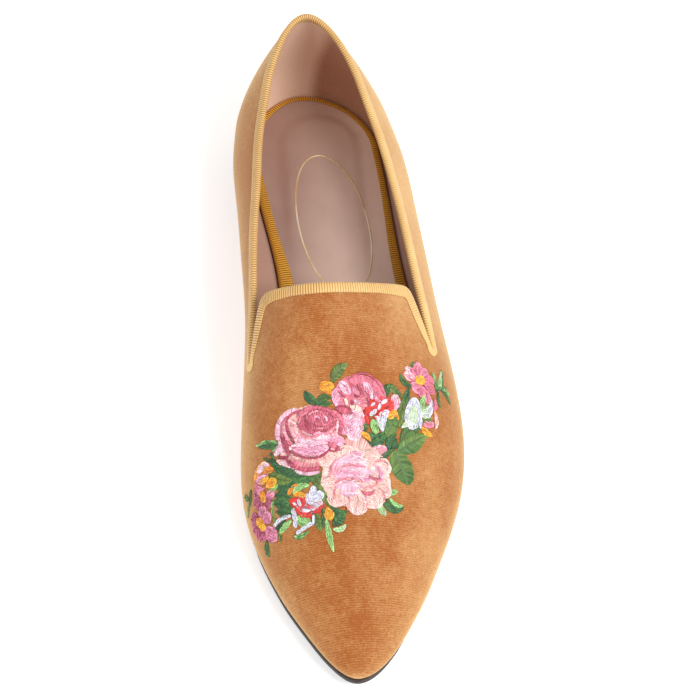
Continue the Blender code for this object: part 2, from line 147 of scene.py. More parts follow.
def last(side, station, climb):
    """A section's half is a cubic Bezier curve from the feather edge, out round the bulge and level on to
    the ridge. Widths close like a superellipse at the heel and an ellipse at the toe, and the back leans
    forward below and above its middle height."""
    side, station, climb = np.broadcast_arrays(side, np.asarray(station, float), climb)
    ridge_x, ridge_z = SECTION["ridge_x"](station), SECTION["ridge_z"](station)
    feather_z = feather_height(station)
    feather_x = side * by_side(side, SECTION, "x")(station)
    bulge_x = feather_x + side * by_side(side, SECTION, "bulge")(station)
    shoulder_x = ridge_x + by_side(side, SECTION, "shoulder")(station) * (feather_x - ridge_x)
    b0, b1 = (1 - climb) ** 3, 3 * climb * (1 - climb) ** 2
    b2, b3 = 3 * climb**2 * (1 - climb), climb**3
    rise = b1 * BULGE_LEVEL + b2 + b3
    reach = b0 * feather_x + b1 * bulge_x + b2 * shoulder_x + b3 * ridge_x - ridge_x
    heel = np.clip(1 - station / HEEL_ROUND, 0, 1)
    heel = (1 - heel**HEEL_SQUARENESS) ** (1 / HEEL_SQUARENESS)
    toe = np.sqrt(1 - np.clip(1 - (LENGTH - station) / TOE_ROUND, 0, 1) ** 2)
    x = ridge_x + reach * heel * toe
    z = feather_z + (ridge_z - feather_z) * rise * toe
    low, high = (BACK_MIDDLE - z) / BACK_BELOW, (z - BACK_MIDDLE) / BACK_ABOVE
    lean = np.where(z < BACK_MIDDLE, BACK_TUCK * low**2, BACK_LEAN * high**2)
    forward = station + lean * np.clip(1 - station / BACK_FADE, 0, 1) ** 2
    return np.stack([x - CENTRE_X, CENTRE_STATION - forward, z], axis=-1)


# %% Directions and heights on the last
def unit(vectors):
    return vectors / np.linalg.norm(vectors, axis=-1, keepdims=True)


def normal(side, station, climb):
    """Outward unit normal of the last: the cross product of two short steps along it."""
    here = last(side, station, climb)
    along = last(side, station + PROBE, climb) - here
    up = here - last(side, station, climb - CLIMB_PROBE)
    return unit(np.cross(up, along) * np.asarray(side)[..., None])


def climb_to(side, station, height):
    """The climb at which a section reaches a height, by halving."""
    low, high = np.zeros(np.broadcast(side, station, height).shape), 1.0
    for _ in range(HALVINGS):
        middle = (low + high) / 2
        under = last(side, station, middle)[..., 2] < height
        low, high = np.where(under, middle, low), np.where(under, high, middle)
    return (low + high) / 2


WIDEST_CLIMB = 0.25
ball = last(np.array([LATERAL, MEDIAL]), BALL_BACK, WIDEST_CLIMB)
print("last, widest at the ball:", np.round(np.ptp(ball[:, 0]), 1), "mm")

# %% [markdown]
# ## The opening
# The top edge dips along the quarters, dives into a slit on each side and comes up again to a square
# throat. In life it is a cut in the leather. Cutting it with a Boolean would leave ragged triangles, so the
# mesh is laid out along the cut instead: the edge is a function, and the rows and columns end on it.

# %% Sizes of the opening
TOPLINE = columns(("station", "lateral_z", "medial_z"), (
    (0,   62.0, 62.0),
    (14,  59.5, 59.3),
    (35,  54.8, 54.1),
    (55,  50.8, 50.7),
    (80,  48.3, 49.7),
    (108, 46.2, 45.8),
    (127, 43.3, 42.2),
    (155, 35.6, 34.6),
))
SLIT_STATION = {LATERAL: 149.2, MEDIAL: 151.5}
SLIT_RADIUS = 1.3
CORNER_STATION = {LATERAL: 127.0, MEDIAL: 127.6}
CORNER_HEIGHT = {LATERAL: 48.6, MEDIAL: 48.4}
CORNER_ROUND = {LATERAL: 6.0, MEDIAL: 9.5}
THROAT_STATION = 134.6


# %% The edge of the opening
def quarter_top(side, station):
    """Climb of the quarter's top edge. It turns up into the end of the slit on a small radius."""
    height = by_side(side, TOPLINE, "z")(station)
    into = np.clip(station - (SLIT_STATION[side] - SLIT_RADIUS), 0, SLIT_RADIUS)
    height = height + SLIT_RADIUS - np.sqrt(SLIT_RADIUS**2 - into**2)
    return climb_to(side, station, height)


def vamp_leg(side):
    """Climbs of the slit's end and of the throat's corner, and millimetres for one whole climb there."""
    slit_climb = float(quarter_top(side, SLIT_STATION[side]))
    corner_climb = float(climb_to(side, CORNER_STATION[side], CORNER_HEIGHT[side]))
    low, high = last(side, SLIT_STATION[side], slit_climb + np.array([-PROBE, PROBE]))
    return slit_climb, corner_climb, np.linalg.norm(high - low) / (2 * PROBE)


def vamp_edge(side, climb):
    """Station of the vamp's edge: round the end of the slit, up its leg and over the throat. The corner is
    the larger of two lines, rounded by half of (hypotenuse - difference)."""
    slit_climb, corner_climb, girth = vamp_leg(side)
    up = np.maximum(climb - slit_climb, 0) * girth
    slope = (SLIT_STATION[side] - CORNER_STATION[side]) / ((corner_climb - slit_climb) * girth)
    turn = SLIT_RADIUS * slope / np.hypot(1, slope)
    bend = SLIT_RADIUS - np.sqrt(SLIT_RADIUS**2 - np.minimum(up, turn) ** 2)
    straight = SLIT_STATION[side] - bend - slope * np.maximum(up - turn, 0)
    over = np.clip((climb - corner_climb) / (1 - corner_climb), 0, 1)
    across = CORNER_STATION[side] + (THROAT_STATION - CORNER_STATION[side]) * over * (2 - over)
    apart = straight - across
    rounding = (np.hypot(apart, CORNER_ROUND[side]) - np.abs(apart)) / 2
    fade = np.clip((climb - slit_climb) / (corner_climb - slit_climb), 0, 1) * (1 - over) ** 2
    return np.maximum(straight, across) + rounding * fade


def crowded(count, crowding):
    """Numbers from 0 to 1 that crowd at 0 as squares do, so that a round end gets even faces."""
    even = np.linspace(0, 1, count)
    return even**2 * (1 + crowding) / (even + crowding)


# %% [markdown]
# ## From arrays to a mesh
# Each piece is one or more grids of points. Blender takes them as lists of vertices and quads, and a grid
# that closes on itself only needs its doubles merged afterwards. Keeping this in one helper means that the
# shapes below stay pure geometry.


# %% Mesh helpers
MERGE_DISTANCE = 1e-6


def grid_faces(rows, across, first=0):
    """Quads of a grid of points stored row by row."""
    corner = first + (np.arange(rows - 1)[:, None] * across + np.arange(across - 1)).reshape(-1, 1)
    return corner + np.array([0, 1, across + 1, across])


def finish_piece(made, slot, *nodes):
    """Rides on the shoe's one body and hides the CAD nodes named, for which it stands. Its slot is not used.
    """
    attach(made, "root")
    if nodes:
        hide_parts(*nodes)


# %% A mesh from arrays
def mesh_piece(name, points, faces, material, uv=None, colour=None, outward=True):
    """A mesh object from points in millimetres and faces by index. Doubles are merged, and the normals of a
    closed piece are turned outwards after that."""
    mesh = bpy.data.meshes.new(name)
    mesh.from_pydata((points.reshape(-1, 3) * MM).tolist(), [], faces.tolist())
    if uv is not None:
        layer = mesh.uv_layers.new(name="UVMap")
        layer.data.foreach_set("uv", uv.reshape(-1, 2)[faces.ravel()].astype(np.float32).ravel())
    if colour is not None:
        layer = mesh.color_attributes.new("silk", "FLOAT_COLOR", "POINT")
        layer.data.foreach_set("color", colour.astype(np.float32).ravel())
    work = bmesh.new()
    work.from_mesh(mesh)
    bmesh.ops.remove_doubles(work, verts=work.verts, dist=MERGE_DISTANCE)
    if outward:
        bmesh.ops.recalc_face_normals(work, faces=work.faces)
    work.to_mesh(mesh)
    work.free()
    mesh.shade_smooth()
    mesh.materials.append(material)
    made = bpy.data.objects.new(name, mesh)
    bpy.context.scene.collection.objects.link(made)
    print(f"{name}: {len(mesh.vertices)} vertices, {len(mesh.polygons)} faces")
    return made


def grid_piece(name, grid, material, uv=None):
    """A piece from one grid of points."""
    return mesh_piece(name, grid, grid_faces(*grid.shape[:2]), material, uv=uv)


# %% [markdown]
# ## Writing finishes as sums
# A finish is a node tree. Adding nodes one by one hides what is meant, so a socket is wrapped in a small
# class whose + - * and ** add Math nodes, and every other node comes from one method.


# %% A socket that can be added and multiplied
class Wire:
    """An output socket of a finish. Arithmetic on it adds Math nodes."""

    def __init__(self, finish, socket):
        self.finish, self.socket = finish, socket

    def math(self, operation, first, second=0.0):
        return self.finish.node("ShaderNodeMath", {"operation": operation}, {0: first, 1: second})

    def __add__(self, other):
        return self.math("ADD", self, other)

    def __sub__(self, other):
        return self.math("SUBTRACT", self, other)

    def __rsub__(self, other):
        return self.math("SUBTRACT", other, self)

    def __mul__(self, other):
        return self.math("MULTIPLY", self, other)

    def __pow__(self, other):
        return self.math("POWER", self, other)

    __radd__, __rmul__ = __add__, __mul__

    def sine(self):
        return self.math("SINE", self)

    def within(self, low, high):
        """0 below low, 1 above high and a smooth step between them."""
        settings = {"interpolation_type": "SMOOTHSTEP"}
        return self.finish.node("ShaderNodeMapRange", settings, {0: self, 1: low, 2: high})


# %% A colour from a paint card
def linear(*srgb):
    """A colour as the shader takes it, from the three numbers that a paint card gives, 0 to 255."""
    share = np.array(srgb) / 255
    light = np.where(share <= 0.04045, share / 12.92, ((share + 0.055) / 1.055) ** 2.4)
    return (*(float(value) for value in light), 1.0)


# %% A finish
class Finish:
    """A material whose nodes are added by its methods."""

    def __init__(self, name, **constants):
        self.material = bpy.data.materials.new(name)
        self.material.use_nodes = True
        self.tree = self.material.node_tree
        self.shader = self.tree.nodes["Principled BSDF"]
        self.set(**constants)

    def set(self, **inputs):
        """Feeds the shader's sockets, whose names are written with _ for a space."""
        for name, value in inputs.items():
            self.feed(self.shader.inputs[name.replace("_", " ")], value)

    def feed(self, socket, value):
        if isinstance(value, Wire):
            self.tree.links.new(value.socket, socket)
        else:
            socket.default_value = value

    def node(self, kind, settings, inputs, output=0):
        """A node of a type, with its settings made first and then its sockets fed."""
        made = self.tree.nodes.new(kind)
        for name, value in settings.items():
            setattr(made, name, value)
        for socket, value in inputs.items():
            self.feed(made.inputs[socket], value)
        return Wire(self, made.outputs[output])

    def place(self, stretch=(1, 1, 1)):
        """Where a point of the piece is, in millimetres, with each axis stretched."""
        point = self.node("ShaderNodeTexCoord", {}, {}, "Object")
        sizes = tuple(share / MM for share in stretch)
        return self.node("ShaderNodeVectorMath", {"operation": "MULTIPLY"}, {0: point, 1: sizes})

    def noise(self, place, size, detail=2.0, rough=0.5):
        """Cloudy noise from 0 to 1 whose lumps are about so many millimetres."""
        inputs = {"Vector": place, "Scale": 1 / size, "Detail": detail, "Roughness": rough}
        return self.node("ShaderNodeTexNoise", {}, inputs)

    def part(self, place, axis):
        """One coordinate of a place."""
        return self.node("ShaderNodeSeparateXYZ", {}, {0: place}, axis)

    def mix(self, first, second, share):
        """A colour between two colours."""
        return self.node("ShaderNodeMix", {"data_type": "RGBA"}, {0: share, 6: first, 7: second}, 2)

    def bump(self, height, depth, strength):
        """A normal tilted by a height from 0 to 1 that stands for so many millimetres."""
        inputs = {"Height": height, "Distance": depth * MM, "Strength": strength}
        return self.node("ShaderNodeBump", {}, inputs)


# %% [markdown]
# ## Velvet
# Velvet is a cut pile: short threads stand up from the cloth, so it is dark and rich when looked at straight
# on and pale at a glancing angle. The shader's sheen does that, and the base colour adds a painted sheen,
# paler where the surface turns away from upright, and painted light and shade by place. The pile also lies
# in patches where a hand has brushed it, which large soft noise gives, and its tufts stand in rows, a sine
# wave along the shoe that some noise sways.

# %% The velvet's finish
TUFT_ROW, TUFT_SWAY, PILE_DEPTH = 0.78, 9.0, 0.35
BRUSH_SIZE, MOTTLE_SIZE, TUFT_SIZE, SWAY_SIZE = 26, 2.2, 0.75, 2.5
# The velvet's two colours: random pile moves between them, and so do the painted sheen and the painted light
# and shade.
PILE_AND_PAINTED_LIGHT_SHADES = linear(154, 85, 37), linear(208, 160, 105)

velvet = Finish("amber_velvet", Roughness=0.95, Sheen_Weight=1.0, Sheen_Roughness=0.45,
                Sheen_Tint=linear(255, 226, 178), Specular_IOR_Level=0.15)
at = velvet.place()
# Painted sheen: the base colour is painted paler where the surface turns away from upright.
upright = velvet.part(velvet.node("ShaderNodeNewGeometry", {}, {}, "Normal"), "Z")
side = (1 - upright).within(0.1, 0.9)
brushed = velvet.noise(velvet.place((1, 0.6, 1)), BRUSH_SIZE, 3, 0.6).within(0.4, 0.66)
mottled = velvet.noise(at, MOTTLE_SIZE, 3, 0.7)
tufts = velvet.noise(velvet.place((1, 0.75, 1)), TUFT_SIZE, 3, 0.8)
sway = velvet.noise(at, SWAY_SIZE, 2) * TUFT_SWAY
rows = (velvet.part(at, "Y") * (2 * float(np.pi) / TUFT_ROW) + sway).sine() * 0.5 + 0.5
pile = mottled * 0.35 + tufts * 0.53 + rows * 0.12

# %% Painted light and shade on the velvet
# Painted light and shade: the lateral slope of the vamp and a band of the medial slope are painted paler, the
# lateral one the more so near the throat, and the low sides are painted darker, as shade, most on the medial
# quarter.
lateral, medial = velvet.part(at, "X"), 0 - velvet.part(at, "X")
quarters = velvet.part(at, "Y").within(-20, 20)
throat = velvet.part(at, "Y").within(-34, 4)
painted_light_and_shade = lateral.within(0, 24) * (throat * 0.34 + 0.16) - lateral.within(24, 42) * 0.36
painted_light_and_shade = painted_light_and_shade + medial.within(10, 22) * 0.1 - medial.within(22, 42) * (quarters * 0.6 + 0.16)
# The mix takes the random brushing and pile together with the painted sheen and the painted light and shade.
share = brushed * 0.3 + side * 0.45 + painted_light_and_shade + (pile - 0.5) * 1.9 + 0.02
velvet.set(Base_Color=velvet.mix(*PILE_AND_PAINTED_LIGHT_SHADES, share), Normal=velvet.bump(pile, PILE_DEPTH, 0.7))

# %% [markdown]
# ## The upper
# Two quarters and two halves of the vamp make one skin. The rows below the feather edge turn under, as
# leather does when it is lasted on to the insole. A Solidify modifier gives the skin its thickness: the
# velvet takes the outer part of the wall and the lining the inner part.

# %% Fineness of the upper
QUARTER_ROWS, QUARTER_COLUMNS = 34, 110
LEG_ROWS, THROAT_ROWS, VAMP_COLUMNS = 22, 40, 120
SLIT_END_STEPS = np.array([0.26, 0.5, 0.71, 0.87, 0.97, 1.0])
BACK_CROWDING, TOE_CROWDING = 0.12, 0.15
VELVET, LINING, LINING_GAP = 0.7, 0.5, 0.08
TURN_IN, TURN_DOWN, TURN_UNDER = 0.12, 0.42, 1.9


# %% The grids of the upper
def plan_out(side, station):
    """Outward direction in plan at the feather edge."""
    before, after = np.maximum(station - FINE_PROBE, 0), np.minimum(station + FINE_PROBE, LENGTH)
    ahead = last(side, after, 0.0) - last(side, before, 0.0)
    out = np.stack([-ahead[..., 1], ahead[..., 0], 0 * ahead[..., 0]], axis=-1) * side
    return unit(out)


def lasted(side, station, climb):
    """Grid of the last with two rows added below the feather edge, turned down and then under."""
    grid = last(side, station, climb)
    edge_station = np.broadcast_to(station, grid.shape[:2])[0]
    out = plan_out(side, edge_station)
    down = grid[0] - out * TURN_IN - (0, 0, TURN_DOWN)
    under = down - out * TURN_UNDER
    return np.concatenate([under[None], down[None], grid])


def quarter(side):
    """One quarter from the feather edge to the top edge, its columns running from the back to the slit."""
    round_from = SLIT_STATION[side] - SLIT_RADIUS
    station = round_from * crowded(QUARTER_COLUMNS, BACK_CROWDING)
    station = np.concatenate([station, round_from + SLIT_RADIUS * SLIT_END_STEPS])
    share = np.linspace(0, 1, QUARTER_ROWS + 1)[:, None]
    return station, share * quarter_top(side, station)


def half_vamp(side):
    """Half the vamp: below the slit, round its end, up the leg and over to the ridge, and from the
    opening's edge to the point of the toe."""
    slit_climb, corner_climb, girth = vamp_leg(side)
    below = slit_climb * np.linspace(0, 1, QUARTER_ROWS + 1)
    end = slit_climb + SLIT_RADIUS / girth * SLIT_END_STEPS
    leg = np.linspace(end[-1], corner_climb, LEG_ROWS + 1)[1:]
    throat = np.linspace(corner_climb, 1, THROAT_ROWS + 1)[1:]
    climb = np.concatenate([below, end, leg, throat])[:, None]
    left = (LENGTH - vamp_edge(side, climb)) * crowded(VAMP_COLUMNS, TOE_CROWDING)[::-1]
    return LENGTH - left, climb


# %% Make the velvet and the lining
def skin(name, surface, material, depth, thickness):
    """The upper's skin as one sheet, moved in by a depth along its normals and made solid inwards."""
    points, faces, first = [], [], 0
    for side in (LATERAL, MEDIAL):
        for outline in (quarter, half_vamp):
            grid = surface(side, *outline(side))
            quads = grid_faces(*grid.shape[:2], first)
            points.append(grid.reshape(-1, 3))
            faces.append(quads[:, ::-1] if side == LATERAL else quads)
            first += len(points[-1])
    made = mesh_piece(name, np.concatenate(points), np.concatenate(faces), material, outward=False)
    mesh = made.data
    place = np.zeros(len(mesh.vertices) * 3, np.float32)
    out = np.zeros_like(place)
    mesh.vertices.foreach_get("co", place)
    mesh.vertex_normals.foreach_get("vector", out)
    mesh.vertices.foreach_set("co", place - out * depth * MM)
    wall = made.modifiers.new("wall", "SOLIDIFY")
    wall.thickness, wall.offset = thickness * MM, -1
    return made


upper = skin("velvet_upper", lasted, velvet.material, 0.0, VELVET)
finish_piece(upper, "velvet", "upper")

# %% [markdown]
# ## The lining
# The quarters are lined in smooth kid leather and the back in suede, which grips the heel. Two pieces would
# need a gap or an overlap at the seam, so both are one surface, and the finish changes from one to the other
# where the seam lies. The suede is painted light on the medial side of the back and painted dark, as shade,
# on the lateral side.

# %% The lining's finish
SEAM_FROM, SEAM_TO = CENTRE_STATION - 62, CENTRE_STATION - 48
# Lean, sway and span of the edge between the suede's painted light and its painted shade.
SHADE_EDGE_LEAN, SHADE_EDGE_SWAY, SHADE_EDGE_SPAN = 0.1, 3, (-6.0, 1.0)

lining = Finish("mauve_lining", Specular_IOR_Level=0.35, Sheen_Weight=0.25, Sheen_Roughness=0.5,
                Sheen_Tint=linear(240, 215, 200))
at = lining.place()
suede = lining.part(at, "Y").within(SEAM_FROM, SEAM_TO)
grain = lining.noise(at, 0.7, 3, 0.6)
cloud = lining.noise(at, 14, 3)
kid = lining.mix(linear(168, 128, 112), linear(190, 150, 132), cloud)
# Painted light and shade on the suede: painted pale on the medial side of the back, where the light falls,
# and painted dark, as shade, on the lateral side.
painted_shade = lining.part(at, "X") - lining.part(at, "Z") * SHADE_EDGE_LEAN + (cloud - 0.5) * SHADE_EDGE_SWAY
painted_shade = painted_shade.within(*SHADE_EDGE_SPAN)
# The first pair of colours is the suede's painted light, the second its painted shade.
painted_lit_suede = lining.mix(linear(222, 184, 160), linear(240, 208, 184), grain)
painted_lit_and_shaded_suede = lining.mix(painted_lit_suede, lining.mix(linear(150, 102, 76), linear(190, 142, 114), grain), painted_shade)
lining.set(Base_Color=lining.mix(kid, painted_lit_and_shaded_suede, suede), Roughness=0.55 + suede * 0.35,
           Normal=lining.bump(grain, 0.12, 0.5))
inner = skin("lining", last, lining.material, VELVET + LINING_GAP, LINING)
finish_piece(inner, "insole_leather")

# %% [markdown]
# ## Grosgrain ribbon
# Grosgrain is woven with thick weft cords, so it has fine ribs straight across it, about one in each
# millimetre. A texture would fake them from above, but the ribs break the outline of the edge too, so they
# are modelled. The ribbon is a profile folded over an edge and carried along a path, and each rib is a
# bead: the square root of a half sine wave, which is round on top and narrow in the groove.

# %% Sizes of the ribbons
RIBBON, CLEAR = 0.36, 0.08
RIB_PITCH, RIB_HEIGHT, RIB_STEPS = 0.97, 0.16, 6
RIBBON_ROWS = ("from_slit", "lateral_width", "medial_width", "lateral_calm", "medial_calm")
RIBBON_TABLE = dict(zip(RIBBON_ROWS, np.array((
    (-200,  2.9, 2.9, 0.6, 0.0),
    (-60,   2.9, 2.9, 0.75, 0.0),
    (-17,   2.9, 2.8, 0.9, 0.1),
    (-8,    1.9, 1.8, 0.9, 0.3),
    (-2.5,  1.3, 1.4, 1.0, 0.7),
    (0,     2.8, 2.8, 1.0, 1.0),
    (2.5,   1.7, 1.6, 1.0, 0.7),
    (8,     3.0, 3.0, 0.8, 0.1),
    (14,    3.9, 4.0, 0.6, 0.0),
    (30,    4.0, 4.0, 0.5, 0.0),
    (40,    3.1, 3.2, 0.4, 0.1),
    (120,   2.9, 2.9, 0.3, 0.3),
)).T))
CORNER_EASE, EASE_FROM, EASE_TO = 5.0, 9.0, 18.0
VALUE_ROUND = 0.9
PRESSED_RIB, INNER_SKIP = 0.7, 3
FOOT_STEPS = 6
LEAF_STEPS = np.array([0.0, 0.12, 0.5, 1.0])
TURN_STEPS = np.radians(np.arange(25, 180, 26))
SELVEDGE = np.array([0.1, 0.85, 1.0, 1.0])
PRESSED_TURN = np.array([0.9, 0.6, 0.3, 0.1, 0.0, 0.0])


# %% The nearest point of the last
def nearest_on_last(side, station, climb, target):
    """The last's nearest points to some targets, and its normals there, by walking the parameters."""
    for _ in range(FOOT_STEPS):
        here = last(side, station, climb)
        along = (last(side, station + PROBE, climb) - here) / PROBE
        up = (here - last(side, station, climb - FINE_PROBE)) / FINE_PROBE
        miss = target - here
        along2, up2, both = (along**2).sum(-1), (up**2).sum(-1), (along * up).sum(-1)
        miss_along, miss_up = (miss * along).sum(-1), (miss * up).sum(-1)
        area2 = along2 * up2 - both**2
        station = np.clip(station + (miss_along * up2 - miss_up * both) / area2, 0, LENGTH)
        climb = np.clip(climb + (miss_up * along2 - miss_along * both) / area2, 0, 1)
    return last(side, station, climb), normal(side, station, climb)


# %% A folded ribbon
def folded_ribbon(name, ribs, edge, out, into, foot, foot_out, wall, material, calm=0.0):
    """A ribbon folded round an edge. Its profile runs up the outer leaf, over the edge on a half turn and
    down the inner leaf, and a thinner copy of it inside closes it. Its ribs are pressed flat where the outer
    leaf is calm, and the map's second number tells the finish so."""
    up = LEAF_STEPS[:, None, None]
    leaf, lean = foot + (edge - foot) * up, unit(foot_out + (out - foot_out) * up)
    turn = TURN_STEPS[:, None, None]
    over = out * np.cos(turn) - into * np.sin(turn)
    crown = edge - out * wall / 2 + over * wall / 2
    back, back_lean = leaf[::-1] - lean[::-1] * wall, -lean[::-1]
    base = np.concatenate([leaf, crown, back])
    push = np.concatenate([lean, over, back_lean])
    full = np.concatenate([SELVEDGE, np.ones(len(TURN_STEPS)), SELVEDGE[::-1]])[:, None]
    outer_leaf = np.concatenate([np.ones(len(LEAF_STEPS)), PRESSED_TURN, np.zeros(len(LEAF_STEPS))])
    pressed = outer_leaf[:, None] * calm
    phase = np.arange(edge.shape[0]) / RIB_STEPS
    bead = np.sqrt(np.abs(np.sin(np.pi * phase))) * RIB_HEIGHT
    bead = bead + (RIB_HEIGHT * PRESSED_RIB - bead) * pressed
    outer = base + push * (CLEAR + (RIBBON + bead) * full)[..., None]
    inner = (base + push * CLEAR)[::-INNER_SKIP]
    pressed = np.broadcast_to(pressed, bead.shape)
    across = np.concatenate([pressed, pressed[::-INNER_SKIP]]).T
    ring = np.concatenate([outer, inner]).transpose(1, 0, 2)
    uv = np.stack(np.broadcast_arrays(phase[:, None], across), axis=-1)
    ring, uv = np.concatenate([ring, ring[:1]]), np.concatenate([uv, uv[:1] + (ribs, 0)])
    ring, uv = np.concatenate([ring, ring[:, :1]], axis=1), np.concatenate([uv, uv[:, :1]], axis=1)
    return grid_piece(name, ring, material, uv)


# %% The ribbons' finish
PRESSED_SHADE, WEAR_SIZE, WARP_SIZE = 0.8, 9, 0.3


def grosgrain(name, crest, groove_shade_and_wear):
    """Pale on the ribs and painted dark in the grooves between them, as shade, with a little wear and shine.
    The groove's colour serves the wear too.
    """
    made = Finish(name, Roughness=0.55, Sheen_Weight=0.35, Sheen_Roughness=0.4,
                  Sheen_Tint=linear(255, 240, 205), Specular_IOR_Level=0.35)
    coordinates = made.node("ShaderNodeUVMap", {"uv_map": "UVMap"}, {})
    rib = (made.part(coordinates, "X") * float(np.pi)).sine()
    rib = (rib * rib) ** 0.5
    rib = rib + (PRESSED_SHADE - rib) * made.part(coordinates, "Y")
    shade = made.noise(made.place(), WEAR_SIZE, 2)
    thread = made.noise(made.place(), WARP_SIZE, 1)
    # Painted shade: the colour darkens from the crest into the grooves between the ribs, less where the ribs
    # are pressed; the wear noise darkens it towards the same colour.
    colour = made.mix(groove_shade_and_wear, crest, rib.within(0.2, 0.85))
    darker = made.mix(colour, groove_shade_and_wear, (shade - 0.35) * 0.5)
    made.set(Base_Color=darker, Normal=made.bump(thread, 0.05, 0.4))
    return made


# The second colour is the painted shade of the grooves, which the wear also uses.
gold = grosgrain("pale_gold_grosgrain", linear(230, 188, 122), linear(152, 98, 42))


# %% The edge at even steps
PATH_POINTS = 1600


def opening_edge():
    """The edge of the opening as sides, stations and climbs at even steps of its length, a whole number of
    steps to each rib: along the lateral side, over the throat and back along the medial side."""
    halves, lengths = [], []
    for side in (LATERAL, MEDIAL):
        station = SLIT_STATION[side] * crowded(PATH_POINTS, BACK_CROWDING)
        climb = quarter_top(side, station)
        rise = climb[-1] + (1 - climb[-1]) * crowded(PATH_POINTS, 1.0)[1:]
        station = np.concatenate([station, vamp_edge(side, rise)])
        climb = np.concatenate([climb, rise])
        step = np.linalg.norm(np.diff(last(side, station, climb), axis=0), axis=1)
        halves.append((np.concatenate([[0], np.cumsum(step)]), station, climb))
        lengths.append(halves[-1][0][-1])
    total = sum(lengths)
    ribs = int(round(total / RIB_PITCH))
    travel = np.arange(ribs * RIB_STEPS) * total / (ribs * RIB_STEPS)
    side = np.where(travel < lengths[0], LATERAL, MEDIAL)
    lateral, medial = halves
    station, climb = (np.where(side > 0, np.interp(travel, lateral[0], lateral[i]),
                               np.interp(total - travel, medial[0], medial[i])) for i in (1, 2))
    print("opening edge:", round(total, 1), "mm,", ribs, "ribs")
    return ribs, side, station, climb


def eased(values, reach):
    """Values along a closed path, each averaged with its neighbours by a raised cosine."""
    steps = np.arange(-reach, reach + 1)
    weights = 1 + np.cos(np.pi * steps / (reach + 1))
    moved = (np.roll(values, step, axis=0) * weight for step, weight in zip(steps, weights))
    return sum(moved) / weights.sum()


# %% Make the ribbon round the opening
ribs, *path = opening_edge()
edge, out = last(*path), normal(*path)
ahead = np.roll(edge, -1, axis=0) - np.roll(edge, 1, axis=0)
into = unit(np.cross(out, ahead))
pace = np.linalg.norm(ahead, axis=1).mean() / 2
gone = np.arange(len(edge)) * pace
ends = [gone[np.argmax(np.where(path[0] == side, path[1], 0))] for side in (LATERAL, MEDIAL)]
from_slit = np.where(path[0] > 0, gone - ends[0], ends[1] - gone)
eased_edge = eased(edge, round(CORNER_EASE / pace))
share = np.clip((from_slit - EASE_FROM) / (EASE_TO - EASE_FROM), 0, 1)[:, None]
bend = edge + (eased_edge - edge) * share * share * (3 - 2 * share)
ahead = np.roll(bend, -1, axis=0) - np.roll(bend, 1, axis=0)


def ribbon_value(column):
    """A column of the ribbon's table at each step, read along straight lines and rounded a little."""
    rows = [np.interp(from_slit, RIBBON_TABLE["from_slit"], RIBBON_TABLE[side + column])
            for side in ("lateral_", "medial_")]
    return eased(np.where(path[0] > 0, *rows), round(VALUE_ROUND / pace))


width = ribbon_value("width")[:, None]
foot, foot_out = nearest_on_last(*path, bend + unit(np.cross(out, ahead)) * width)
calm = ribbon_value("calm")
binding = folded_ribbon("topline_ribbon", ribs, edge, out, into, foot, foot_out, WALL, gold.material, calm)
finish_piece(binding, "ribbon", "topline_binding")

# %% [markdown]
# ## The insole
# A thin board covered in kid leather, with a foam pad under the heel that shows as a soft arch. The pad is
# a height added to the flat insole: a smooth step of the distance inside an arch.

# %% Sizes of the insole
INSOLE_THICKNESS, INSOLE_LIFT = 2.0, 0.8
INSOLE_MARGINS = np.array([-2.8, -8.0])
INSOLE_RIBBON = columns(("station", "lateral_width", "medial_width"), (
    (0,   0.9, 0.9),
    (40,  1.3, 1.9),
    (60,  1.4, 2.4),
    (80,  2.1, 2.5),
    (100, 2.8, 4.4),
    (150, 3.2, 5.0),
    (266, 3.0, 3.0),
))
INSOLE_ROWS, INSOLE_ACROSS = 180, 44
PLAN_POINTS, FINE_PLAN_POINTS = 400, 2400
PAD_CENTRE, PAD_BACK, PAD_WIDTH, PAD_LENGTH = -1.0, 20.0, 15.5, 75.0
PAD_SLOPE, PAD_RISE, PAD_FADE = 5.5, 1.3, 1.6


# %% Outline and height of the insole
def feather_loop(margins, count=PLAN_POINTS):
    """The feather edge in plan, moved out by a margin that changes to another at the point of the toe.
    It starts at the back, runs along the lateral side to the toe and returns along the medial side."""
    station = LENGTH * np.sin(np.linspace(0, np.pi / 2, count)) ** 2
    station = np.concatenate([station, station[-2:0:-1]])
    side = np.where(np.arange(len(station)) < count, LATERAL, MEDIAL)
    loop = last(side, station, 0.0)[:, :2]
    ahead = np.roll(loop, -1, axis=0) - np.roll(loop, 1, axis=0)
    out = ahead[:, ::-1] * (-1, 1) / np.linalg.norm(ahead, axis=1, keepdims=True)
    tip = np.clip(1 - (LENGTH - station) / TOE_ROUND, 0, 1)[:, None] ** 2
    margin, toe_margin = margins
    return loop + (margin + (toe_margin - margin) * tip) * out, out


def halves_at(loop, y):
    """Where the lateral and the medial half of such a loop are at each y."""
    medial = np.concatenate([loop[:1], loop[:PLAN_POINTS - 2:-1]])
    return [np.interp(-y, -half[:, 1], half[:, 0]) for half in (loop[:PLAN_POINTS], medial)]


def insole_top(station):
    return feather_height(station) + INSOLE_LIFT + INSOLE_THICKNESS


def pad_height(plan):
    """Rise of the foam heel pad: an arch with a round back and straight sides, fading towards the waist."""
    station = CENTRE_STATION - plan[..., 1]
    ahead = np.maximum(PAD_BACK + PAD_WIDTH - station, 0)
    inside = PAD_WIDTH - np.hypot(plan[..., 0] - PAD_CENTRE, ahead)
    step = np.clip(inside / PAD_SLOPE + 0.5, 0, 1)
    fade = np.clip(PAD_FADE - station / PAD_LENGTH, 0, 1)
    return PAD_RISE * step**2 * (3 - 2 * step) * fade**2 * (3 - 2 * fade)


